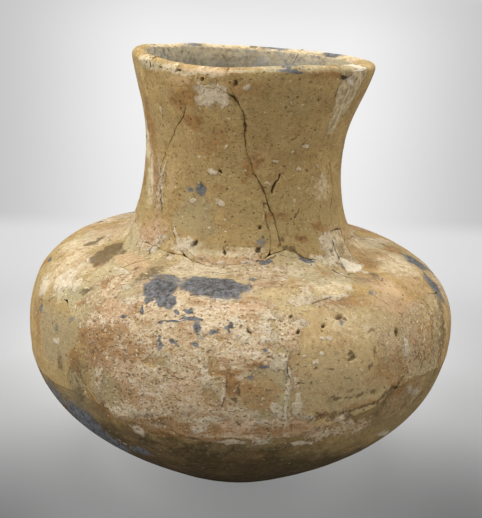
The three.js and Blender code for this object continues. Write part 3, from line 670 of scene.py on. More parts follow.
def outline_table():
    """Traced outline, its distance along the wall and its angle round the belly's core."""
    points = [np.zeros(2)]
    for degrees in range(FIRST_ANGLE, LAST_ANGLE, ANGLE_STEP):
        turn = math.radians(degrees)
        reach = np.array((math.cos(turn), math.sin(turn))) * RAY_REACH
        points.append(traced(BELLY_CORE + reach, BELLY_CORE))
    points += [traced((RAY_REACH, height), (0, height)) for height in NECK_HEIGHTS]
    points.append(traced((LIP_RADIUS, RAY_REACH + NECK_START), (LIP_RADIUS, NECK_START)))
    points = np.array(points)
    steps = np.linalg.norm(np.diff(points, axis=0), axis=1)
    station = np.concatenate(([0], np.cumsum(steps)))
    angle = np.arctan2(points[:, 1] - BELLY_CORE[1], points[:, 0] - BELLY_CORE[0])
    return points, station, angle


OUTLINE_POINTS, OUTLINE_STATIONS, OUTLINE_ANGLES = outline_table()


def unroll(points):
    """Bearing in degrees, millimetres along the wall and radius of points in millimetres."""
    radius = np.hypot(points[:, 0], points[:, 1])
    bearing = np.degrees(np.arctan2(points[:, 0], -points[:, 1]))
    lift = np.clip(points[:, 2] / BELLY_CORE[1], 0, 1)
    height = points[:, 2] + BODY_SLOPE * points[:, 0] * lift
    on_body = OUTLINE_POINTS[:, 1] <= NECK_START + BODY_OVERLAP
    angle = np.arctan2(height - BELLY_CORE[1], radius - BELLY_CORE[0])
    body_station = np.interp(angle, OUTLINE_ANGLES[on_body], OUTLINE_STATIONS[on_body])
    neck = OUTLINE_POINTS[:, 1] > BELLY_CORE[1]
    neck_station = np.interp(height, OUTLINE_POINTS[neck, 1], OUTLINE_STATIONS[neck])
    return bearing, np.where(height > NECK_START, neck_station, body_station), radius


def wall_outward(points):
    """Direction out of the wall at points in millimetres."""
    bearing, station, radius = unroll(points)
    steps = np.diff(OUTLINE_POINTS, axis=0)
    middle = (OUTLINE_STATIONS[1:] + OUTLINE_STATIONS[:-1]) / 2
    along_radius = np.interp(station, middle, steps[:, 0])
    along_height = np.interp(station, middle, steps[:, 1])
    length = np.hypot(along_radius, along_height)
    turn = np.radians(bearing)
    sideways = along_height / length
    return np.column_stack((sideways * np.sin(turn), -sideways * np.cos(turn), -along_radius / length))


def distance_to_line(across, along, line):
    """Distance of flat places to a line of corners."""
    nearest = np.full(len(across), FAR_AWAY)
    for (start_across, start_along), (end_across, end_along) in zip(line, line[1:]):
        step_across, step_along = end_across - start_across, end_along - start_along
        length = max(step_across**2 + step_along**2, TINY)
        from_start = (across - start_across) * step_across + (along - start_along) * step_along
        share = np.clip(from_start / length, 0, 1)
        off_across = across - start_across - share * step_across
        off_along = along - start_along - share * step_along
        nearest = np.minimum(nearest, np.hypot(off_across, off_along))
    return nearest


def camera_turn():
    """Turn of the camera that took the photo."""
    look = Matrix.Rotation(math.radians(90) - CAMERA_DIP, 3, "X")
    return look @ Matrix.Rotation(CAMERA_ROLL, 3, "Z")


def seen_place(x, y):
    """Bearing, millimetres along the wall and radius at a pixel of the photo, or None beside it."""
    right = x - PHOTO_WIDTH / 2
    up = PHOTO_HEIGHT * (0.5 + LENS_SHIFT) - y
    ahead = PHOTO_HEIGHT * CAMERA_LENS / SENSOR_WIDTH
    aim = camera_turn() @ Vector((right, up, -ahead))
    place = WALL.ray_cast(Vector((0, -CAMERA_DISTANCE, CAMERA_HEIGHT)), aim)[0]
    if place is None:
        return None
    return np.concatenate(unroll(np.array([place]) / MILLIMETRE))


def seen_step(x, y, right, down):
    """Millimetres across and along the wall for a step in the photo."""
    middle = seen_place(x, y)
    behind = seen_place(x - right, y - down)
    ahead = seen_place(x + right, y + down)
    share = 1 if behind is None or ahead is None else 0.5
    first = middle if behind is None else behind
    last = middle if ahead is None else ahead
    turned = math.radians(last[0] - first[0])
    return share * turned * middle[2], share * (last[1] - first[1])


def placed_mark(layer, x, y, half_width, half_height, tilt=0, strength=1):
    """A mark of the photo laid on the wall: bearing, millimetres along the wall, sizes and tilt."""
    cosine, sine = math.cos(math.radians(tilt)), math.sin(math.radians(tilt))
    bearing, station, radius = seen_place(x, y)
    level = seen_step(x, y, half_width * cosine, -half_width * sine)
    upright = seen_step(x, y, half_height * sine, half_height * cosine)
    wide = math.hypot(*level)
    high = abs(level[0] * upright[1] - level[1] * upright[0]) / wide
    turn = math.degrees(math.atan2(level[1], level[0]))
    return layer, bearing, station, wide, max(high, LEAST_HALF_SIZE), turn, strength


def placed_stroke(layer, half_width, strength, line):
    """A thin mark of the photo laid on the wall."""
    places = [seen_place(x, y)[:2] for x, y in line]
    return layer, max(half_width * FRONT_PIXEL, LEAST_HALF_STROKE), strength, places


def strewn_marks():
    """The marks of the sides and the back, which come out alike each time."""
    dice = random.Random(STREWN_SEED)
    marks = []
    for layer, count, low, high, least, greatest, strength in STREWN_MARKS:
        for number in range(count):
            turned = (number + dice.random()) / count
            bearing = STREWN_START + (STREWN_END - STREWN_START) * turned
            size = least * (greatest / least) ** dice.random()
            flatness = dice.uniform(*STREWN_FLATNESS)
            station = dice.uniform(low, high)
            tilt = dice.uniform(*STREWN_TILT)
            weight = strength * dice.uniform(*STREWN_STRENGTH)
            marks.append((layer, bearing, station, size, size * flatness, tilt, weight))
    return marks


def warp_fields(points):
    """Two noises for each warp size, which bend the outlines of the marks."""
    return [
        np.column_stack([rough(points, size, seed + number) for seed in (ACROSS_SEED, ALONG_SEED)])
        for number, size in enumerate(WARP_SIZES)
    ]


MARKS = [placed_mark(layer, *mark) for layer, marks in SEEN_MARKS.items() for mark in marks]
MARKS += [
    (layer, bearing, BACK_LIP_STATION, half_width, half_height, 0, strength)
    for layer, bearing, half_width, half_height, strength in BACK_LIP_MARKS
]
MARKS += strewn_marks()
STROKES = [placed_stroke(*stroke) for stroke in SEEN_STROKES]


def nearest_warps(minor):
    """Numbers of the noise that fits a mark of the given half size, and of the next finer one."""
    misfit = np.abs(np.log(np.array(WARP_SIZES) / (1.5 * minor)))
    fitting = int(np.argmin(misfit))
    return fitting, min(fitting + 1, len(WARP_SIZES) - 1)


def lay_field(fields, layer, near, strength, reach):
    """Adds a mark to its layer, from the distance to its middle as a share of its half size."""
    field = strength * np.clip(MARK_END - reach, 0, 1)
    fields[layer][near] = np.maximum(fields[layer][near], field)


def lay_mark(fields, places, warps, mark):
    """Adds a mark to its layer at unrolled places, with an outline that noise bends."""
    bearing, station, radius = places
    layer, mark_bearing, mark_station, half_width, half_height, tilt, strength = mark
    turned = (bearing - mark_bearing + 180) % 360 - 180
    across = np.radians(turned) * radius
    along = station - mark_station
    near = np.abs(across) + np.abs(along) < MARK_REACH * (half_width + half_height)
    if not near.any():
        return
    minor = min(half_width, half_height)
    fitting, finer = nearest_warps(minor)
    unrest = CLOUD_UNREST if layer == "soot" and minor > CLOUD_SIZE else 1
    bend = unrest * minor * (0.9 * warps[fitting][near] + 0.45 * warps[finer][near])
    bent_across = across[near] + bend[:, 0]
    bent_along = along[near] + bend[:, 1]
    cosine, sine = math.cos(math.radians(tilt)), math.sin(math.radians(tilt))
    length = (bent_across * cosine + bent_along * sine) / half_width
    height = (bent_along * cosine - bent_across * sine) / half_height
    lay_field(fields, layer, near, strength, np.hypot(length, height))


def lay_stroke(fields, places, warps, stroke):
    """Adds a thin mark to its layer at unrolled places, bent by the two finest noises."""
    bearing, station, radius = places
    layer, half_width, strength, line = stroke
    bearings, stations = np.array(line).T
    near = bearing > bearings.min() - STROKE_MARGIN
    near &= bearing < bearings.max() + STROKE_MARGIN
    near &= station > stations.min() - STROKE_MARGIN
    near &= station < stations.max() + STROKE_MARGIN
    if not near.any():
        return
    fine, finest = (warp[near] for warp in warps[-2:])
    size = np.radians(radius[near].mean())
    bend = 0.9 * fine + 0.3 * finest
    across = bearing[near] * size + bend[:, 0]
    along = station[near] + bend[:, 1]
    away = distance_to_line(across, along, list(zip(bearings * size, stations)))
    width = half_width * (1 + 0.6 * fine[:, 0])
    lay_field(fields, layer, near, strength, away / width)


def mark_fields(points):
    """Strength of every layer at points in millimetres, from the marks and the strokes."""
    places = unroll(points)
    warps = warp_fields(points)
    fields = {layer: np.zeros(len(points)) for layer in LAYERS}
    for mark in MARKS:
        lay_mark(fields, places, warps, mark)
    for stroke in STROKES:
        lay_stroke(fields, places, warps, stroke)
    return fields


# Sherds


def finer_copy(node, halvings):
    """A merged, four-sided and smoothed copy of a packed sherd, as a new mesh."""
    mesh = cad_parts[node].data.copy()
    shape = bmesh.new()
    shape.from_mesh(mesh)
    bmesh.ops.remove_doubles(shape, verts=shape.verts, dist=MERGE_DISTANCE)
    bmesh.ops.join_triangles(
        shape,
        faces=shape.faces,
        angle_face_threshold=JOINED_ANGLE,
        angle_shape_threshold=JOINED_SLANT,
    )
    crease = shape.edges.layers.float.new("crease_edge")
    for edge in shape.edges:
        if len(edge.link_faces) == 2 and edge.calc_face_angle() > CREASE_ANGLE:
            edge[crease] = 1
    shape.to_mesh(mesh)
    shape.free()
    rough_piece = bpy.data.objects.new(node + "_rough", mesh)
    bpy.context.scene.collection.objects.link(rough_piece)
    smoothing = rough_piece.modifiers.new("smoothing", "SUBSURF")
    smoothing.levels = halvings
    smoothing.render_levels = halvings
    graph = bpy.context.evaluated_depsgraph_get()
    finer = bpy.data.meshes.new_from_object(rough_piece.evaluated_get(graph), depsgraph=graph)
    bpy.data.objects.remove(rough_piece)
    bpy.data.meshes.remove(mesh)
    finer.name = node
    return finer


def read_points(mesh):
    """Vertex places in millimetres."""
    places = np.zeros(len(mesh.vertices) * 3, np.float32)
    mesh.vertices.foreach_get("co", places)
    return places.reshape(-1, 3).astype(float) / MILLIMETRE


def sum_at_corners(corners, values, count):
    """Adds up a value of each face at each of its corners."""
    total = np.zeros((count, values.shape[1]))
    for column in range(values.shape[1]):
        weights = np.repeat(values[:, column], corners.shape[1])
        total[:, column] = np.bincount(corners.ravel(), weights=weights, minlength=count)
    return total


def unit(vectors):
    """The vectors at length 1."""
    length = np.linalg.norm(vectors, axis=1, keepdims=True)
    return vectors / np.maximum(length, TINY)


def face_sides(mesh, points):
    """Corners and normals of the faces, and which are outer, inner or broken ones."""
    corners = np.zeros(len(mesh.loops), np.int32)
    mesh.loops.foreach_get("vertex_index", corners)
    corners = corners.reshape(-1, 4)
    normals = np.zeros(len(mesh.polygons) * 3, np.float32)
    mesh.polygon_normals.foreach_get("vector", normals)
    normals = normals.reshape(-1, 3).astype(float)
    middles = points[corners].mean(axis=1)
    facing = np.sum(normals * wall_outward(middles), axis=1)
    tangent = unit(np.column_stack((-middles[:, 1], middles[:, 0], np.zeros(len(middles)))))
    unbroken = np.abs(np.sum(normals * tangent, axis=1)) < CREST_SLANT
    on_crest = (middles[:, 2] > RIM_START) & unbroken & (normals[:, 2] > OUTER_FACING)
    outer = (facing > OUTER_FACING) | on_crest
    inner = (facing < -OUTER_FACING) & ~on_crest
    return corners, normals, outer, inner


def nearest_break(points, on_edge, wanted):
    """Distance of the wanted points to the nearest broken edge, and that edge point's number."""
    distance = np.full(len(points), FAR_AWAY)
    nearest = np.zeros(len(points), np.int64)
    edge_numbers = np.flatnonzero(on_edge)
    if not len(edge_numbers):
        return distance, nearest
    tree = kdtree.KDTree(len(edge_numbers))
    for number in edge_numbers:
        tree.insert(points[number], int(number))
    tree.balance()
    for number in np.flatnonzero(wanted):
        _, found, away = tree.find(points[number])
        distance[number] = away
        nearest[number] = found
    return distance, nearest


def shaken(points, size, seed, octaves):
    """Noise from -1 to 1 along each of the three axes."""
    return np.column_stack([rough(points, size, seed + axis, octaves) for axis in range(3)])


def swayed(points):
    """Lets the breaks wander a little, alike on both sides of a joint."""
    sway = shaken(points, *SWAY_NOISE) + FINE_SWAY_SHARE * shaken(points, *FINE_SWAY_NOISE)
    outward = wall_outward(points)
    sway -= outward * np.sum(sway * outward, axis=1, keepdims=True)
    calm = np.clip((RIM_START - points[:, 2]) / CALM_HEIGHT, LEAST_CALM, 1)
    return points + SWAY * sway * calm[:, None]


def sherd_layers(packed_points, points, distance, touches):
    """Colour layers at the points of a sherd, and how much its joints gape there."""
    on_outer = touches["outer"].astype(float)
    fields = mark_fields(packed_points)
    for layer in LAYERS:
        fields[layer] *= on_outer
    fields["inside"] = (touches["inner"] & ~touches["outer"]).astype(float)
    gape = np.clip(fields.pop("gape"), 0, 1)
    crossing = 0.5 + 0.5 * rough(points, *CROSSING_NOISE)
    gape *= np.clip(0.35 + 1.3 * crossing, 0, 1)
    fields["seam"] = np.clip(1 - distance / SEAM_WIDTH, 0, 1) * on_outer * gape
    return fields, gape


def wear_depths(points, fields, gape, distance):
    """How far the wear sets points in, and how far it draws them back from a break."""
    wear = bpy.context.scene.bottle_wear
    chip_width = wear.chip_width / MILLIMETRE
    chipping = np.clip(0.5 + 1.1 * rough(points, *CHIP_NOISE), 0.05, 1) * (0.04 + 0.96 * gape)
    near_break = np.clip(1 - distance / (chip_width * (0.5 + chipping)), 0, 1)
    dip = wear.unevenness / MILLIMETRE * (0.5 + 0.5 * rough(points, *DIP_NOISE))
    dip += RIPPLE_DEPTH * (0.5 + 0.5 * rough(points, *RIPPLE_NOISE))
    dip += wear.chip_depth / MILLIMETRE * chipping * near_break**2
    dip += wear.dent_depth / MILLIMETRE * fields["dent"]
    crust = sum(np.clip(2 * fields[layer] - 0.6, 0, 1) for layer in ("crust", "chalk"))
    crumbled = 0.6 + 0.4 * rough(points, *CRUST_NOISE)
    dip -= wear.crust_thickness / MILLIMETRE * crust * crumbled
    closing = wear.joint_closing / MILLIMETRE * (1 - 0.55 * gape)
    return dip, (0.1 * chipping - closing) * near_break


def add_piece(node, slot, mesh, points, fields):
    """Puts places and colour layers into a mesh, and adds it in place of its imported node."""
    mesh.vertices.foreach_set("co", (points * MILLIMETRE).astype(np.float32).ravel())
    for layer, field in fields.items():
        attribute = mesh.attributes.new(layer, "FLOAT", "POINT")
        attribute.data.foreach_set("value", field.astype(np.float32))
    mesh.update()
    mesh.shade_smooth()
    mesh.set_sharp_from_angle(angle=SHARP_ANGLE)

    piece = bpy.data.objects.new(node + "_clay", mesh)
    bpy.context.scene.collection.objects.link(piece)
    mesh.materials.clear()
    mesh.materials.append(finish_for(slot))
    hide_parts(node)
    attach(piece, "root")
    return piece


def weathered_sherd(node, slot, halvings):
    """Builds one sherd of the pot, wears its face and breaks, and keeps its colour layers."""
    mesh = finer_copy(node, halvings)
    packed_points = read_points(mesh)
    count = len(packed_points)
    corners, normals, outer, inner = face_sides(mesh, packed_points)
    broken = ~outer & ~inner
    outward = unit(sum_at_corners(corners, normals * outer[:, None], count))
    break_out = unit(sum_at_corners(corners, normals * broken[:, None], count))
    touches = {
        side: np.bincount(corners[faces].ravel(), minlength=count) > 0
        for side, faces in (("outer", outer), ("inner", inner), ("broken", broken))
    }
    on_edge = touches["outer"] & touches["broken"]
    distance, nearest = nearest_break(packed_points, on_edge, touches["outer"])
    points = swayed(packed_points)
    fields, gape = sherd_layers(packed_points, points, distance, touches)
    dip, recede = wear_depths(points, fields, gape, distance)
    points -= outward * (dip * touches["outer"])[:, None]
    points -= break_out[nearest] * (recede * touches["outer"])[:, None]
    return add_piece(node, slot, mesh, points, fields)


# Finishes


def linear(colour):
    """Scene-linear colour of a screen colour."""
    return tuple(
        part / 12.92 if part <= 0.04045 else ((part + 0.055) / 1.055) ** 2.4 for part in colour
    )


def grey(level):
    """A screen colour without a hue."""
    return level, level, level


def shade(colour, brightness, warmth=0.0):
    """A lighter or darker, warmer or cooler neighbour of a screen colour."""
    warming = (1 + warmth, 1, 1 - warmth)
    return tuple(min(part * brightness * share, 1) for part, share in zip(colour, warming))


def put(tree, kind, inputs=None, **settings):
    """Adds a node, with its settings and its inputs by name."""
    node = tree.nodes.new(kind)
    for name, value in settings.items():
        setattr(node, name, value)
    for name, value in (inputs or {}).items():
        if isinstance(value, bpy.types.NodeSocket):
            tree.links.new(value, node.inputs[name])
        else:
            node.inputs[name].default_value = value
    return node


def noise(tree, place, scale, detail, roughness):
    """Smooth noise from 0 to 1."""
    inputs = {"Vector": place, "Scale": scale, "Detail": detail, "Roughness": roughness}
    return put(tree, "ShaderNodeTexNoise", inputs).outputs[0]


def stretched(tree, place, scales):
    """A place with each of its axes scaled."""
    return put(tree, "ShaderNodeMapping", {"Vector": place, "Scale": scales}).outputs[0]


def maths(tree, operation, first, second=0.0, third=0.0):
    """The outcome of an operation on sockets or numbers."""
    node = tree.nodes.new("ShaderNodeMath")
    node.operation = operation
    for number, value in enumerate((first, second, third)):
        if isinstance(value, bpy.types.NodeSocket):
            tree.links.new(value, node.inputs[number])
        else:
            node.inputs[number].default_value = value
    return node.outputs[0]


def step(tree, value, low, high):
    """0 below low, 1 above high and smooth between them."""
    inputs = {"Value": value, "From Min": low, "From Max": high}
    return put(tree, "ShaderNodeMapRange", inputs, interpolation_type="SMOOTHSTEP").outputs[0]


def mix(tree, share, low, high, blend_type="MIX"):
    """Mixes two colours, each a socket or a screen colour."""
    node = tree.nodes.new("ShaderNodeMix")
    node.data_type = "RGBA"
    node.blend_type = blend_type
    for number, value in ((0, share), (6, low), (7, high)):
        if isinstance(value, bpy.types.NodeSocket):
            tree.links.new(value, node.inputs[number])
        elif number == 0:
            node.inputs[number].default_value = value
        else:
            node.inputs[number].default_value = (*linear(value), 1)
    return node.outputs[2]


def times(tree, first, second):
    """The product of two sockets or numbers."""
    return maths(tree, "MULTIPLY", first, second)


def greatest(tree, first, *others):
    """The greatest of several sockets or numbers."""
    for other in others:
        first = maths(tree, "MAXIMUM", first, other)
    return first


def coated(tree, tone, coats):
    """Lays coats over a tone, one after the other: the share, strength and colour of each."""
    for share, strength, colour in coats:
        tone = mix(tree, times(tree, share, strength), tone, colour)
    return tone


def kept_layer(tree, layer):
    """Strength of a layer that the sherds keep."""
    return put(tree, "ShaderNodeAttribute", attribute_name=layer).outputs["Fac"]


def layer_share(tree, layer, ragged, unrest, softness):
    """Share of a layer, from its attribute with an edge that noise frays."""
    centred = maths(tree, "SUBTRACT", ragged, 0.5)
    frayed = maths(tree, "MULTIPLY_ADD", centred, unrest, kept_layer(tree, layer))
    return step(tree, frayed, 0.5 - softness, 0.5 + softness)


def flakes(tree, place, scale, size, kept):
    """Scattered small flakes: 1 on a flake, 0 elsewhere."""
    inputs = {"Vector": place, "Scale": scale}
    cells = put(tree, "ShaderNodeTexVoronoi", inputs)
    near = step(tree, cells.outputs["Distance"], size, size * 0.6)
    chance = put(tree, "ShaderNodeSeparateColor", {"Color": cells.outputs["Color"]}).outputs[0]
    return times(tree, near, maths(tree, "LESS_THAN", chance, kept))


def veins(tree, place, scale, width):
    """Thin wandering lines: 1 on a line, 0 elsewhere."""
    wander = noise(tree, place, scale, 9, 0.66)
    off_line = maths(tree, "ABSOLUTE", maths(tree, "SUBTRACT", wander, 0.5))
    return step(tree, off_line, width, width * 0.3)


def blank_material(name):
    """A material without nodes, its node tree and its Object coordinates."""
    material = bpy.data.materials.new(name)
    material.use_nodes = True
    tree = material.node_tree
    tree.nodes.clear()
    return material, tree, put(tree, "ShaderNodeTexCoord").outputs["Object"]


def matt_surface(tree, tone, bump, roughness, specular):
    """Ends a finish with its matt surface."""
    inputs = {"Base Color": tone, "Roughness": roughness, "Normal": bump.outputs[0]}
    surface = put(tree, "ShaderNodeBsdfPrincipled", inputs)
    surface.inputs["Specular IOR Level"].default_value = specular
    put(tree, "ShaderNodeOutputMaterial", {"Surface": surface.outputs[0]})


class ClayNoises:
    """The noises and places that the parts of a clay finish share."""

    def __init__(self, tree, place):
        self.place = place
        self.uneven = stretched(tree, place, (0.7, 1.0, 1.25))
        self.across, _, self.upward = put(tree, "ShaderNodeSeparateXYZ", {"Vector": place}).outputs
        self.broad = noise(tree, place, 30, 3, 0.55)
        self.middle = noise(tree, place, 130, 7, 0.62)
        self.fine = noise(tree, place, 620, 6, 0.68)
        self.grain = noise(tree, place, 2600, 3, 0.6)
        self.crumbs = noise(tree, place, 400, 10, 0.72)
        self.grit = noise(tree, place, 950, 6, 0.7)
        self.ragged = times(tree, maths(tree, "ADD", self.crumbs, self.grit), 0.5)
        self.wiped = noise(tree, stretched(tree, place, (70, 70, 260)), 1, 5, 0.6)
        self.dark_specks = step(tree, noise(tree, self.uneven, 980, 4, 0.6), 0.59, 0.65)


def mottled_tone(tree, colour, shares):
    """A clay's own tone: lighter and darker patches, wiping marks, flecks and grain."""
    tone = mix(tree, shares["patch"], shade(colour, 0.85, 0.03), shade(colour, 1.1, -0.01))
    for share, brightness, warmth in (
        ("broad", 0.99, -0.04),
        ("streak", 0.84, 0.05),
        ("light", 1.2, -0.03),
        ("dark", 0.7, 0.07),
        ("grain", 0.6, 0.06),
    ):
        tone = mix(tree, shares[share], tone, shade(colour, brightness, warmth))
    return tone


def darker_low_tone(tree, tone, noises, shares, colour, darkest_colour):
    """A clay darker low down, reaching less high at the right, with brown patches in the dark part."""
    centred = maths(tree, "SUBTRACT", noises.middle, 0.5)
    height = maths(tree, "MULTIPLY_ADD", centred, LOW_DARK_UNREST, noises.upward)
    rightwards = maths(tree, "MAXIMUM", noises.across, 0.0)
    height = maths(tree, "MULTIPLY_ADD", rightwards, LOW_DARK_SLANT, height)
    brown_patches = mix(tree, shares["patch"], shade(colour, 0.6, 0.08), shade(colour, 0.8, 0.02))
    patchy = times(tree, step(tree, noises.crumbs, 0.48, 0.66), 0.65)
    blotches = noise(tree, noises.uneven, 75, 8, 0.65)
    patchy = greatest(tree, patchy, times(tree, step(tree, blotches, 0.5, 0.6), 0.75))
    darkened = mix(tree, patchy, mottled_tone(tree, darkest_colour, shares), brown_patches)
    return mix(tree, step(tree, height, LOW_DARK_TOP, LOW_DARK_FULL), tone, darkened)


def cream_tone(tree, noises):
    """The lime crust's own tone: pale plates with rust and dirt between them."""
    blots = noise(tree, noises.uneven, 190, 9, 0.72)
    veined = times(tree, veins(tree, noises.uneven, 140, 0.03), step(tree, noises.broad, 0.4, 0.55))
    red_specks = step(tree, noise(tree, noises.uneven, 700, 5, 0.7), 0.55, 0.62)
    cream = mix(tree, step(tree, noises.grit, 0.36, 0.6), (0.67, 0.56, 0.41), (0.83, 0.75, 0.62))
    coats = (
        (step(tree, noises.crumbs, 0.46, 0.64), 0.6, (0.80, 0.74, 0.63)),
        (step(tree, noises.middle, 0.5, 0.66), 0.55, (0.67, 0.57, 0.41)),
        (step(tree, blots, 0.53, 0.6), 0.62, (0.59, 0.44, 0.28)),
        (step(tree, blots, 0.47, 0.4), 0.8, (0.87, 0.81, 0.71)),
        (veined, 0.6, (0.52, 0.35, 0.18)),
        (red_specks, 0.6, (0.62, 0.43, 0.26)),
        (flakes(tree, noises.uneven, 520, 0.24, 0.3), 0.7, (0.55, 0.31, 0.18)),
        (step(tree, noises.grain, 0.5, 0.3), 0.4, (0.45, 0.34, 0.23)),
        (noises.dark_specks, 0.75, (0.34, 0.27, 0.19)),
    )
    return coated(tree, cream, coats)


def layered_tone(tree, tone, noises):
    """Lays the colour layers over a clay, and gives the shares of chalk and soot too."""
    crumbly = step(tree, noises.crumbs, 0.4, 0.6)
    pale_clay_and_highlight = mix(tree, crumbly, (0.735, 0.655, 0.505), (0.835, 0.77, 0.645))
    rusty = mix(tree, crumbly, (0.47, 0.33, 0.17), (0.61, 0.44, 0.24))
    white = mix(tree, step(tree, noises.fine, 0.35, 0.65), (0.72, 0.65, 0.53), (0.85, 0.80, 0.71))
    smoky = step(tree, noises.ragged, 0.41, 0.6)
    smoke = mix(tree, smoky, (0.208, 0.218, 0.237), (0.452, 0.462, 0.478))
    shares = {}
    for layer, unrest, softness, strength, colour in (
        # Pale: paler clay, with painted highlight where its marks lie on the lip crest, the shoulder tops
        # and the neck's edges
        ("pale", 2.2, 0.36, 0.85, pale_clay_and_highlight),
        ("moss", 2.2, 0.36, 0.5, (0.57, 0.535, 0.41)),
        ("rose", 2.2, 0.36, 0.45, (0.77, 0.62, 0.48)),
        ("rust", 3.6, 0.26, 0.7, rusty),
        ("chalk", 2.5, 0.16, 0.7, white),
        ("umber", 2.6, 0.26, 0.8, (0.36, 0.29, 0.19)),
        ("soot", 1.3, 0.16, 0.92, smoke),
    ):
        shares[layer] = layer_share(tree, layer, noises.ragged, unrest, softness)
        tone = coated(tree, tone, ((shares[layer], strength, colour),))
    return tone, shares["chalk"], shares["soot"]


def shell_share(tree, noises, shell, soot):
    """Share of the white shell flakes, which are fewer under soot."""
    pale_specks = step(tree, noise(tree, noises.place, 760, 3, 0.6), 0.63, 0.67)
    share = greatest(
        tree,
        flakes(tree, noises.uneven, 230, 0.11, shell),
        flakes(tree, noises.uneven, 520, 0.15, shell),
        times(tree, pale_specks, shell * 2.5),
    )
    return times(tree, share, maths(tree, "MULTIPLY_ADD", soot, -0.55, 0.7))


def pit_share(tree, noises, coarse):
    """Share of the dark pits."""
    return greatest(
        tree,
        flakes(tree, noises.place, 300, 0.17, 0.22 * coarse),
        flakes(tree, noises.uneven, 650, 0.22, 0.25 * coarse),
        times(tree, noises.dark_specks, 0.4 * coarse),
    )


def lining_tone(tree, noises):
    """The wall's inside: grey, darker grey at the left, and with painted light at the right and under the
    lip.
    """
    lining = mix(tree, step(tree, noises.wiped, 0.4, 0.62), (0.50, 0.46, 0.38), (0.64, 0.61, 0.53))
    # Painted light inside, just under the lip and at the right
    under_lip = step(tree, noises.upward, 0.153, 0.16)
    lit = greatest(tree, under_lip, step(tree, noises.across, 0.016, 0.036))
    coats = (
        (step(tree, noises.broad, 0.48, 0.62), 1.0, (0.53, 0.53, 0.51)),
        (step(tree, noises.across, -0.012, -0.034), 0.6, (0.42, 0.43, 0.435)),
        (step(tree, noises.middle, 0.5, 0.62), 0.55, (0.50, 0.43, 0.32)),
        (times(tree, lit, step(tree, noises.crumbs, 0.36, 0.56)), 0.8, (0.76, 0.69, 0.55)),
        (step(tree, noises.crumbs, 0.5, 0.64), 0.5, (0.72, 0.68, 0.57)),
    )
    return coated(tree, lining, coats)


def clay_relief(tree, noises, coarse, crust, pits, chalk):
    """Fine bumps of the grain, the crust, the specks, the pits and the chalk."""
    height = maths(tree, "MULTIPLY_ADD", noises.fine, 0.7 * coarse, times(tree, noises.grain, 0.35))
    for share, rise in (
        (crust, times(tree, noises.fine, 1.2)),
        (pits, -0.8),
        (noises.dark_specks, times(tree, crust, -0.7)),
        (chalk, times(tree, noises.crumbs, 0.8)),
    ):
        height = maths(tree, "MULTIPLY_ADD", share, rise, height)
    return put(tree, "ShaderNodeBump", {"Strength": 0.7, "Distance": 0.0006, "Height": height})


def clay_finish(name, colour, wiping, shell, coarse, darkest_colour=None):
    """A matt clay with mottling, wiping marks, shell flakes, pits and the pot's colour layers."""
    material, tree, place = blank_material(name)
    noises = ClayNoises(tree, place)
    shares = {
        "patch": step(tree, noises.middle, 0.34, 0.66),
        "broad": step(tree, noises.broad, 0.35, 0.68),
        "streak": times(tree, step(tree, noises.wiped, 0.48, 0.7), wiping),
        "light": times(tree, step(tree, noises.grit, 0.5, 0.66), 0.5),
        "dark": times(tree, step(tree, noises.crumbs, 0.48, 0.34), 0.65),
        "grain": times(tree, step(tree, noises.grain, 0.5, 0.32), 0.45),
    }
    tone = mottled_tone(tree, colour, shares)
    if darkest_colour:
        tone = darker_low_tone(tree, tone, noises, shares, colour, darkest_colour)

    bare = layer_share(tree, "clay", noises.crumbs, unrest=0.9, softness=0.12)
    crust = layer_share(tree, "crust", noises.ragged, unrest=2.1, softness=0.18)
    crust = times(tree, crust, maths(tree, "SUBTRACT", 1.0, bare))
    crumbly = step(tree, noises.crumbs, 0.38, 0.62)
    smooth = mix(tree, crumbly, (0.59, 0.475, 0.32), (0.70, 0.585, 0.41))
    tone = coated(tree, tone, ((crust, 0.88, cream_tone(tree, noises)), (bare, 0.8, smooth)))
    tone, chalk, soot = layered_tone(tree, tone, noises)

    pits = pit_share(tree, noises, coarse)
    centred = maths(tree, "SUBTRACT", noises.crumbs, 0.5)
    seam = maths(tree, "MULTIPLY_ADD", centred, 1.2, kept_layer(tree, "seam"))
    coats = (
        (shell_share(tree, noises, shell, soot), 1.0, (0.86, 0.81, 0.68)),
        (pits, 0.75, shade(colour, 0.5, 0.1)),
        (kept_layer(tree, "inside"), 1.0, lining_tone(tree, noises)),
        (step(tree, seam, 0.62, 0.95), 0.7, (0.42, 0.33, 0.21)),
    )
    tone = coated(tree, tone, coats)
    bump = clay_relief(tree, noises, coarse, crust, pits, chalk)
    roughness = maths(tree, "MULTIPLY_ADD", noises.fine, 0.2, 0.76)
    matt_surface(tree, tone, bump, roughness, specular=0.25)
    return material


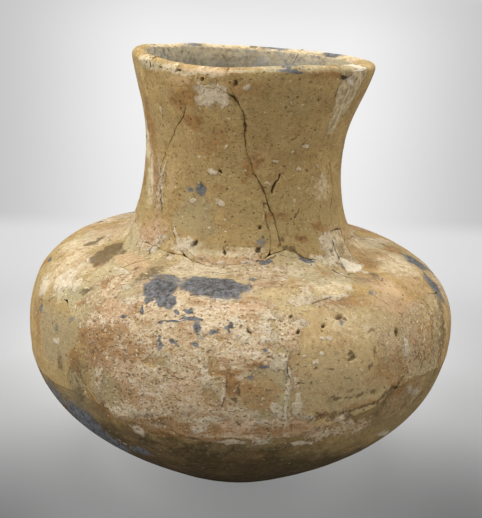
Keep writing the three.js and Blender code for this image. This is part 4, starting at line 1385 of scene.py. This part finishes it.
def plaster_finish(name, colour):
    """The mender's chalky plaster, scraped, pitted and toned down with earth."""
    material, tree, place = blank_material(name)
    broad = noise(tree, place, 60, 4, 0.6)
    fine = noise(tree, place, 480, 7, 0.7)
    grain = noise(tree, place, 2400, 3, 0.6)
    scraped = noise(tree, stretched(tree, place, (700, 700, 50)), 1, 5, 0.65)
    tone = mix(tree, step(tree, broad, 0.4, 0.62), shade(colour, 0.78, 0.05), colour)
    coats = (
        (step(tree, fine, 0.4, 0.62), 1.0, shade(colour, 1.16)),
        (step(tree, scraped, 0.47, 0.6), 0.6, (0.49, 0.40, 0.26)),
        (layer_share(tree, "umber", fine, 0.9, 0.2), 0.9, (0.34, 0.29, 0.21)),
        (layer_share(tree, "moss", fine, 0.9, 0.45), 0.85, (0.60, 0.54, 0.40)),
        (layer_share(tree, "chalk", fine, 0.9, 0.2), 0.6, (0.87, 0.83, 0.75)),
        (kept_layer(tree, "inside"), 0.6, (0.68, 0.62, 0.50)),
    )
    tone = coated(tree, tone, coats)
    height = maths(tree, "ADD", fine, times(tree, grain, 0.3))
    height = maths(tree, "MULTIPLY_ADD", scraped, 0.5, height)
    bump = put(tree, "ShaderNodeBump", {"Strength": 0.6, "Distance": 0.0005, "Height": height})
    matt_surface(tree, tone, bump, roughness=0.93, specular=0.2)
    return material


def finish_for(slot):
    """The material of a record's slot, made the first time that it is asked for."""
    name = slot + "_finish"
    if name in bpy.data.materials:
        return bpy.data.materials[name]
    colours = bpy.context.scene.bottle_colours
    if slot == "buff_clay":
        return clay_finish(name, colours.buff, wiping=0.4, shell=0.13, coarse=1.1)
    if slot == "crusted_clay":
        return clay_finish(name, colours.crusted, wiping=0.15, shell=0.35, coarse=1.5)
    if slot == "ruddy_clay":
        return clay_finish(name, colours.ruddy, wiping=0.5, shell=0.15, coarse=0.7)
    if slot == "sooted_clay":
        return clay_finish(name, colours.low_belly, 0.6, 0.1, 1.1, darkest_colour=colours.darkest_low)
    return plaster_finish(name, colours.plaster)


# Operators


class SherdOperator:
    """Shared work of the operators that build sherds."""

    bl_options = {"REGISTER", "UNDO"}
    sherds = ()

    def execute(self, context):
        for node, slot, halvings in self.sherds:
            piece = weathered_sherd(node, slot, halvings)
            if not len(piece.data.polygons):
                raise RuntimeError(f"{node} came out empty")
        return {"FINISHED"}


class BOTTLE_OT_bowl(SherdOperator, Operator):
    """Builds the bowl with the flat base, darker low down"""

    bl_idname = "bottle.bowl"
    bl_label = "Base bowl"
    sherds = BOWL_SHERDS


class BOTTLE_OT_belly(SherdOperator, Operator):
    """Builds the ring of belly sherds"""

    bl_idname = "bottle.belly"
    bl_label = "Belly sherds"
    sherds = BELLY_SHERDS


class BOTTLE_OT_shoulder(SherdOperator, Operator):
    """Builds the ring of shoulder sherds"""

    bl_idname = "bottle.shoulder"
    bl_label = "Shoulder sherds"
    sherds = SHOULDER_SHERDS


class BOTTLE_OT_neck(SherdOperator, Operator):
    """Builds the neck sherds and the splinter between them"""

    bl_idname = "bottle.neck"
    bl_label = "Neck sherds"
    sherds = NECK_SHERDS


class BOTTLE_OT_lip(SherdOperator, Operator):
    """Builds the loose sherd of the lip"""

    bl_idname = "bottle.lip"
    bl_label = "Lip sherd"
    sherds = LIP_SHERDS


class BOTTLE_OT_fills(SherdOperator, Operator):
    """Builds the two plaster fills"""

    bl_idname = "bottle.fills"
    bl_label = "Plaster fills"
    sherds = PLASTER_FILLS


def softbox(name, place, width, height, power):
    """A large square lamp that looks at the pot."""
    lamp = bpy.data.lights.new(name, "AREA")
    lamp.shape = "RECTANGLE"
    lamp.size = width
    lamp.size_y = height
    lamp.energy = power
    stand = bpy.data.objects.new(name, lamp)
    bpy.context.scene.collection.objects.link(stand)
    stand.location = place
    direction = Vector(place) - Vector(LAMP_AIM)
    stand.rotation_euler = direction.to_track_quat("Z", "Y").to_euler()


def floor_tone_with_painted_falloff(tree, place):
    """Pale floor with a painted falloff of light: darker in front of the pot and at the sides, with a
    soft horizon behind it.
    """
    across, forward, _ = put(tree, "ShaderNodeSeparateXYZ", {"Vector": place}).outputs
    forward = maths(tree, "MULTIPLY_ADD", across, FLOOR_SKEW, forward)
    back = maths(tree, "ABSOLUTE", maths(tree, "ADD", forward, 0.1))
    back = maths(tree, "SUBTRACT", back, 0.1)
    side = maths(tree, "ABSOLUTE", across)
    sideways = maths(tree, "DIVIDE", side, maths(tree, "ADD", back, CAMERA_REACH))
    # edge: share of the painted shade towards the sides of the view
    edge = times(tree, step(tree, sideways, 0.07, 0.24), step(tree, side, 1.4, 0.7))
    # A painted shadow on the floor just in front of the pot
    painted_front_shadow = times(tree, step(tree, back, 0.04, -0.09), step(tree, side, 0.26, 0.1))
    near = mix(tree, step(tree, back, 0.06, 0.3), grey(0.84), grey(0.93))
    near = mix(tree, painted_front_shadow, near, grey(0.56))
    # Painted shade at the sides, darkest close in front of the pot
    painted_side_dimming = mix(tree, step(tree, back, -0.1, 0.25), grey(0.7), grey(0.92))
    near = mix(tree, edge, near, mix(tree, 1.0, near, painted_side_dimming, "MULTIPLY"))
    far = mix(tree, step(tree, back, 0.36, 0.95), grey(0.93), grey(0.95))
    far = mix(tree, step(tree, back, 1.5, 3.4), far, grey(0.906))
    # Painted shade at the sides of the far floor too
    far = mix(tree, edge, far, grey(0.77))
    return mix(tree, step(tree, back, HORIZON_START, HORIZON_END), near, far)


def floor_finish():
    """A floor that glows far from the pot, is lit near it and bounces little light back."""
    material, tree, place = blank_material("pale_floor")
    tone = floor_tone_with_painted_falloff(tree, place)
    seen = put(tree, "ShaderNodeEmission", {"Color": tone})
    lit = put(tree, "ShaderNodeBsdfDiffuse", {"Color": tone})
    bounced = put(tree, "ShaderNodeBsdfDiffuse", {"Color": (*grey(0.3), 1)})
    length = put(tree, "ShaderNodeVectorMath", {0: place}, operation="LENGTH").outputs["Value"]
    away = maths(tree, "MAXIMUM", step(tree, length, 0.06, 0.26), 0.45)
    shown = put(tree, "ShaderNodeMixShader", {0: away, 1: lit.outputs[0], 2: seen.outputs[0]})
    camera_ray = put(tree, "ShaderNodeLightPath").outputs["Is Camera Ray"]
    sides = {0: camera_ray, 1: bounced.outputs[0], 2: shown.outputs[0]}
    surface = put(tree, "ShaderNodeMixShader", sides)
    put(tree, "ShaderNodeOutputMaterial", {"Surface": surface.outputs[0]})
    return material


def add_floor(scene):
    """A wide floor under the pot."""
    shape = bmesh.new()
    bmesh.ops.create_grid(shape, x_segments=1, y_segments=1, size=FLOOR_HALF)
    bmesh.ops.translate(shape, verts=shape.verts, vec=(0, 0, cad_low.z - FLOOR_GAP))
    mesh = bpy.data.meshes.new("floor")
    shape.to_mesh(mesh)
    shape.free()
    floor = bpy.data.objects.new("floor", mesh)
    scene.collection.objects.link(floor)
    mesh.materials.append(floor_finish())


def add_sky(scene, strength):
    """A grey backdrop for the camera and an even light for the pot."""
    world = scene.world or bpy.data.worlds.new("studio")
    scene.world = world
    world.use_nodes = True
    tree = world.node_tree
    tree.nodes.clear()
    camera_ray = put(tree, "ShaderNodeLightPath").outputs["Is Camera Ray"]
    backdrop = put(tree, "ShaderNodeBackground", {"Color": (*grey(0.8), 1), "Strength": 1.0})
    sky = put(tree, "ShaderNodeBackground", {"Color": (*grey(1), 1), "Strength": strength})
    sides = {0: camera_ray, 1: sky.outputs[0], 2: backdrop.outputs[0]}
    shown = put(tree, "ShaderNodeMixShader", sides)
    put(tree, "ShaderNodeOutputWorld", {"Surface": shown.outputs[0]})


def add_camera(scene, settings):
    """The camera that took the photo."""
    lens = bpy.data.cameras.new("camera")
    lens.lens = settings.camera_lens
    lens.sensor_width = SENSOR_WIDTH
    lens.shift_y = LENS_SHIFT
    camera = bpy.data.objects.new("camera", lens)
    scene.collection.objects.link(camera)
    look = Matrix.Rotation(math.radians(90) - settings.camera_dip, 4, "X")
    roll = Matrix.Rotation(settings.camera_roll, 4, "Z")
    place = Matrix.Translation((0, -settings.camera_distance, settings.camera_height))
    camera.matrix_world = place @ look @ roll
    scene.camera = camera


class BOTTLE_OT_stage(Operator):
    """Sets up the floor, the lamps and the camera"""

    bl_idname = "bottle.stage"
    bl_label = "Stage"
    bl_options = {"REGISTER", "UNDO"}

    def execute(self, context):
        scene = context.scene
        settings = scene.bottle_stage
        scene.view_settings.view_transform = "Standard"
        add_floor(scene)
        side_light = settings.side_light
        softbox(*LEFT_SOFTBOX, side_light)
        softbox(*RIGHT_SOFTBOX, side_light * RIGHT_SHARE)
        softbox(*TOP_SOFTBOX, settings.top_light)
        add_sky(scene, settings.sky_light)
        add_camera(scene, settings)
        return {"FINISHED"}


class BOTTLE_PT_panel(Panel):
    """Lists the steps that build the bottle"""

    bl_idname = "BOTTLE_PT_panel"
    bl_label = "Pottery bottle"
    bl_space_type = "VIEW_3D"
    bl_region_type = "UI"
    bl_category = "Bottle"

    def draw(self, context):
        layout = self.layout
        for operator in STEPS:
            layout.operator(operator.bl_idname)
        scene = context.scene
        for group in (scene.bottle_colours, scene.bottle_wear, scene.bottle_stage):
            box = layout.box()
            for name in group.__annotations__:
                box.prop(group, name)


STEPS = (
    BOTTLE_OT_stage,
    BOTTLE_OT_bowl,
    BOTTLE_OT_belly,
    BOTTLE_OT_shoulder,
    BOTTLE_OT_neck,
    BOTTLE_OT_lip,
    BOTTLE_OT_fills,
)
CLASSES = (ClayColours, WearSizes, StageSettings, *STEPS, BOTTLE_PT_panel)


def register():
    for kind in CLASSES:
        bpy.utils.register_class(kind)
    bpy.types.Scene.bottle_colours = PointerProperty(type=ClayColours)
    bpy.types.Scene.bottle_wear = PointerProperty(type=WearSizes)
    bpy.types.Scene.bottle_stage = PointerProperty(type=StageSettings)


def unregister():
    del bpy.types.Scene.bottle_stage
    del bpy.types.Scene.bottle_wear
    del bpy.types.Scene.bottle_colours
    for kind in reversed(CLASSES):
        bpy.utils.unregister_class(kind)


def main():
    register()
    bpy.ops.bottle.stage()
    bpy.ops.bottle.bowl()
    bpy.ops.bottle.belly()
    bpy.ops.bottle.shoulder()
    bpy.ops.bottle.neck()
    bpy.ops.bottle.lip()
    bpy.ops.bottle.fills()


if __name__ == "__main__":
    main()
